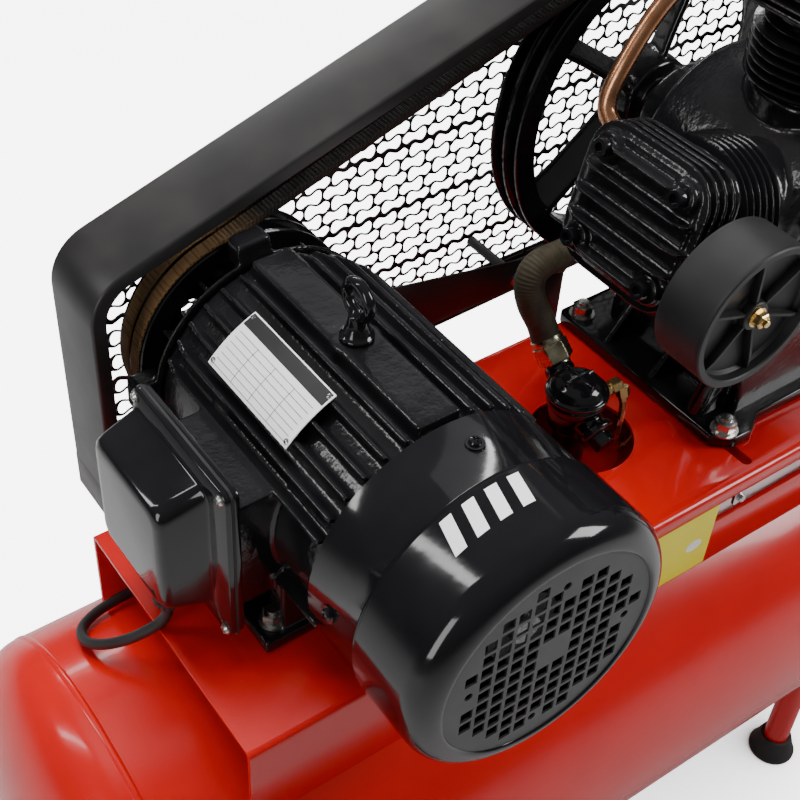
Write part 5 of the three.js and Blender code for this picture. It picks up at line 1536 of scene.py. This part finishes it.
# %% Wheels and feet
for side, s in (("left", 1), ("right", -1)):
    at = (WHEEL_X, s * WHEEL_Y, WHEEL_R)
    hub = [(9.3, -24), (15, -24), (16, -23), (17, -8), (24, -6), (62, -5), (66, -7), (67, -14),
           (70, -17), (72, -17.5), (72, 17.5), (70, 17), (67, 14), (66, 7), (62, 5), (24, 6),
           (17, 8), (16, 23), (15, 24), (9.3, 24), (9.3, -24)]
    windows = []
    for k in range(5):
        windows.append(moved(rotated(prism(round_rect(11, 15, 8, (43, 0), 5), -12, 12, "xz"),
                                     72 * k + 18, "y"), *at))
    piece(f"rim_{side}", revolve(hub, "y", at, 80), soft_black,
          body=f"wheel_{side}", hides=f"wheel_rim_{side}", cuts=together(*windows), bevel=0.6)
    tread = [(72.3, -17.6), (76, -19.2), (88, -20), (94, -18.6), (97.4, -14.6)]
    for k in range(5):
        y = -11.6 + 5.8 * k
        tread += [(99.4, y - 2.2), (99.8, y - 1.6), (99.8, y + 1.6), (99.4, y + 2.2),
                  (97.9, y + 2.4)]
    tread[-1] = (99.0, 14.2)
    tread += [(97.4, 14.8), (94, 18.6), (88, 20), (76, 19.2), (72.3, 17.6), (72.3, -17.6)]
    piece(f"tread_{side}", revolve(tread, "y", at, 128), tyre_rubber,
          body=f"wheel_{side}", hides=f"tyre_{side}")
    foot = [(0, 0), (25, 0), (26, 1), (26, 3), (24, 5.4), (22.4, 12), (18.4, 25), (17.6, 27.4),
            (16.4, 28), (14.4, 28), (14.4, 18.2), (0, 18.2)]
    piece(f"foot_pad_{side}", revolve(foot, "z", (LEG_X, s * LEG_Y, 0), 56), tyre_rubber,
          hides=f"foot_{side}")

# %% Push handle
GRIP_X, GRIP_Z, ARM_Y = 690.0, 880.0, 165.0
arm_left = [(430, ARM_Y, TANK_Z + 140), (500, ARM_Y, TANK_Z + 190), (570, ARM_Y, TANK_Z + 290),
            (630, ARM_Y, GRIP_Z - 100), (678, ARM_Y, GRIP_Z - 20)]
corner_in = [(686, ARM_Y - 1.5, GRIP_Z - 7), (690, ARM_Y - 8, GRIP_Z - 0.6),
             (690, ARM_Y - 22, GRIP_Z)]
across = [(690, 80, GRIP_Z), (690, 0, GRIP_Z)]
half_path = arm_left + corner_in + across
whole = half_path + [(x, -y, z) for x, y, z in half_path[-2::-1]]
piece("handle_tube", tube(through(whole, 260), 12.8, 24), satin_black,
      hides="push_handle", sharp=70)
lug_parts = []
for s in (-1, 1):
    lug_parts.append(block(405, 440, s * ARM_Y - 16, s * ARM_Y + 16, TANK_Z + 96, TANK_Z + 150))
piece("handle_lugs", together(*lug_parts), satin_black, hides="push_handle",
      bevel=2.0,
      cuts=rod(200.4, 380, 460, "x", (0, 0, TANK_Z), 128))
bolt_parts = [hex_screw((422, s * (ARM_Y + 16), TANK_Z + 138), "y", 13, 6, 9.5,
                        s) for s in (-1, 1)]
piece("handle_bolts", together(*bolt_parts), zinc)
grip = [(13.3, -130), (16.4, -130), (18, -128)]
for k in range(31):
    y = -123 + 8.2 * k
    grip += [(18, y - 2.6), (17.0, y - 1.8), (17.0, y + 1.8), (18, y + 2.6)]
grip += [(18, 128), (16.4, 130), (13.3, 130), (13.3, -130)]
piece("grip_sleeve", revolve(grip, "y", (GRIP_X, 0, GRIP_Z), 64), lead_rubber,
      hides="handle_grip")

# %% [markdown]
# ## Controls
# The brass block on the receiver carries the switch, the gauge, the tap, the regulator and the
# safety valve. The gauge has a printed dial with plain tick marks, and a clear-edged bezel.

# %% Brass block and switch
SX, TOP = 440.0, TANK_Z + 200.0
PORT = TOP + 32.0
TAP_X = SX + 30.0
brass_parts = [
    rod(10, TOP + 0.3, TOP + 30, "z", (SX, 0, 0), 6),
    rod(9, SX + 14, SX + 34, "x", (0, -40, PORT), 6, 0.6),
    rod(10, SX + 14, TAP_X + 4, "x", (0, 34, PORT), 32, 0.6),
    rod(11.4, TAP_X + 3, TAP_X + 25, "x", (0, 34, PORT), 8, 1.6),
    rod(10, TAP_X + 24, TAP_X + 34, "x", (0, 34, PORT), 6, 0.6),
    rod(7, PORT + 6, TOP + 52, "z", (TAP_X + 14, 34, 0), 32, 0.5),
    revolve([(0, 33), (6, 33), (6, 36), (4.6, 37), (6.2, 41), (4.6, 42), (6.2, 46), (4.6, 47),
             (6.2, 51), (4.4, 52), (4.0, 56), (0, 56)], "x", (TAP_X, 34, PORT), 32),
    revolve([(0, -34), (19, -34), (20, -33), (20, -13), (18, -11.5), (12, -8), (12, 2), (0, 2)],
            "y",
            (SX, -50, PORT), 48),
    revolve([(3.4, 14), (9, 14), (10, 15), (10, 20), (8.6, 21), (8.6, 30), (9.6, 31), (9.6, 37),
             (8.8, 38), (3.4, 38), (3.4, 14)], "x", (SX, 0, PORT), 32)]
piece("block_body", block(SX - 16, SX + 16, -50, 50, TOP + 18, TOP + 46), brass,
      hides="manifold", bevel=1.6, rings=3)
piece("block_fittings", together(*brass_parts), brass, hides="manifold", sharp=28)
flutes = []
for k in range(20):
    t = 2 * math.pi * k / 20
    flutes.append(rod(1.1, -80, -64, "y", (SX + 20 * math.cos(t), 0, PORT + 20 * math.sin(t)), 8))
piece("regulator_flutes", together(*flutes), brass)
cover = loft([[(x, y, z) for x, y in round_rect(a, b, r, (SX - 3, 0), 5)]
              for a, b, r, z in ((25, 38, 7, TOP + 60.5), (25, 38, 7, TOP + 110),
                                 (23.6, 36.6, 7, TOP + 115.4), (20, 33, 6, TOP + 118))])
piece("switch_cover", cover, soft_black, hides="pressure_switch", sharp=50,
      cuts=rod(5.2, TOP + 96, TOP + 130, "z", (SX, 0, 0), 32))
piece("switch_base", prism(round_rect(29, 42, 5, (SX - 3, 0), 4), TOP + 46.4, TOP + 61, "xy"),
      zinc, hides="pressure_switch", bevel=1.0)
glands = [revolve([(0, 0), (9, 0), (9, 4), (7.6, 5), (9, 6), (9, 11.4), (7, 13), (0, 13)], "y",
                  (SX, 37, PLATE + 30), 24),
          revolve([(0, 0), (9, 0), (9, -4), (7.6, -5), (9, -6), (9, -11.4), (7, -13), (0, -13)],
                  "y",
                  (SX - 10, -37, PLATE + 30), 24)]
piece("switch_glands", together(*glands), soft_black, hides="pressure_switch")
knob = [(0, TOP + 104), (4.5, TOP + 104), (4.5, TOP + 122), (6, TOP + 123), (6, TOP + 129),
        (13.4, TOP + 131.4), (15, TOP + 134), (15.2, TOP + 141), (14, TOP + 144.6),
        (10, TOP + 146),
        (0, TOP + 146)]
piece("pull_knob", revolve(knob, "z", (SX, 0, 0), 48), red_plastic, body="knob",
      hides="switch_knob")
dial = [(0, -114.3), (16, -114.3), (17.4, -113), (18, -110), (18, -91), (14.4, -84.4), (0, -84.4)]
piece("regulator_cap", revolve(dial, "y", (SX, 0, PORT), 48), soft_black,
      body="regulator", hides="regulator_knob")
grips = []
for k in range(18):
    t = 2 * math.pi * k / 18
    grips.append(rod(1.3, -110, -92, "y", (SX + 17.6 * math.cos(t), 0, PORT + 17.6 * math.sin(t)),
                     8))
piece("regulator_grips", together(*grips), soft_black, body="regulator")

# %% Gauge, tap, safety ring and drain
GX = SX + 34.3
case_profile = [(0, 0), (5, 0), (5, 11), (9, 12), (24.6, 12), (26, 13.4), (26, 24.8), (25, 26),
                (23.6, 26), (23.2, 25), (23.2, 15.5), (0, 15.5)]
piece("gauge_case", revolve(case_profile, "x", (GX, -40, PORT), 64), soft_black,
      hides="pressure_gauge")
piece("gauge_dial", rod(23.1, GX + 15.4, GX + 15.9, "x", (0, -40, PORT), 64), white_print)
ticks = []
for k in range(21):
    angle = math.radians(-45 - 270 * k / 20 + 180 + 90)
    long = 5.0 if k % 5 == 0 else 2.8
    tick = block(GX + 15.85, GX + 16.1, -0.35, 0.35, 20.5 - long, 20.5)
    tick = moved(rotated(tick, math.degrees(angle) + 135, "x"), 0, -40, PORT)
    ticks.append(tick)
piece("dial_ticks", together(*ticks), black_print)
needle = together(block(-0.6, 0.6, -0.9, 0.9, -6, 12),
                  prism([(-0.9, 12), (0.9, 12), (0.2, 18), (-0.2, 18)],
                                                            -0.6, 0.6, "yz"))
needle = moved(rotated(needle, 135, "x"), SX + 51.7, -40, PORT)
piece("needle_hand", needle, red_plastic, body="needle", hides="gauge_needle")
piece("needle_hub", rod(3, SX + 51, SX + 53.4, "x", (0, -40, PORT), 32, 0.4), red_plastic,
      body="needle", hides="gauge_needle")
handle_flat = prism([(TAP_X + 8, 29), (TAP_X + 24, 29), (TAP_X + 58, 30.5), (TAP_X + 61.6, 32),
                     (TAP_X + 61.6, 36), (TAP_X + 58, 37.5), (TAP_X + 24, 39), (TAP_X + 8, 39)],
                    TOP + 54, TOP + 56.8, "xy")
piece("tap_lever", handle_flat, red_plastic, body="lever", hides="outlet_lever",
      bevel=0.8)
piece("tap_hub", together(rod(8, TOP + 52.4, TOP + 57, "z", (TAP_X + 14, 34, 0), 32, 0.6)),
      red_plastic, body="lever", hides="outlet_lever")
piece("tap_nut", revolve([(0, TOP + 56.9), (5.4, TOP + 56.9), (5.4, TOP + 60), (4.6, TOP + 61),
                          (0, TOP + 61)], "z", (TAP_X + 14, 34, 0), 6), zinc,
      body="lever", sharp=28)
piece("relief_pin", rod(3, SX + 20, SX + 43, "x", (0, 0, PORT), 24, 0.5), bright_steel,
      body="ring", hides="safety_ring")
piece("relief_ring", ring_bar((SX + 50, 0, PORT), 8, 1.7, "xz", 48, 12), bright_steel,
      body="ring", hides="safety_ring", sharp=80)
DRAIN_X, UNDER_Z = 60.0, TANK_Z - 200.0
drain = revolve([(3.2, -26.2), (8, -26.2), (9, -25.2), (9, -13.4), (8, -12.4), (6, -10), (6, -0.4),
                 (3.2, -0.4), (3.2, -26.2)], "z", (DRAIN_X, 0, UNDER_Z), 6)
piece("drain_body", drain, brass, hides="drain_valve", sharp=28)
tap = together(rod(3, -40, -18, "z", (DRAIN_X, 0, UNDER_Z), 24),
               prism(round_rect(14, 4, 3.6, (DRAIN_X, UNDER_Z - 40), 5), -2.8, 2.8, "xz"))
piece("drain_wing", tap, brass, body="drain", hides="drain_tap", sharp=40)

# %% Sizes and end
low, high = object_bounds()
print("solids", [round(b - a, 3) for a, b in zip(cad_low, cad_high)],
      "dressed", [round(b - a, 3) for a, b in zip(low, high)])
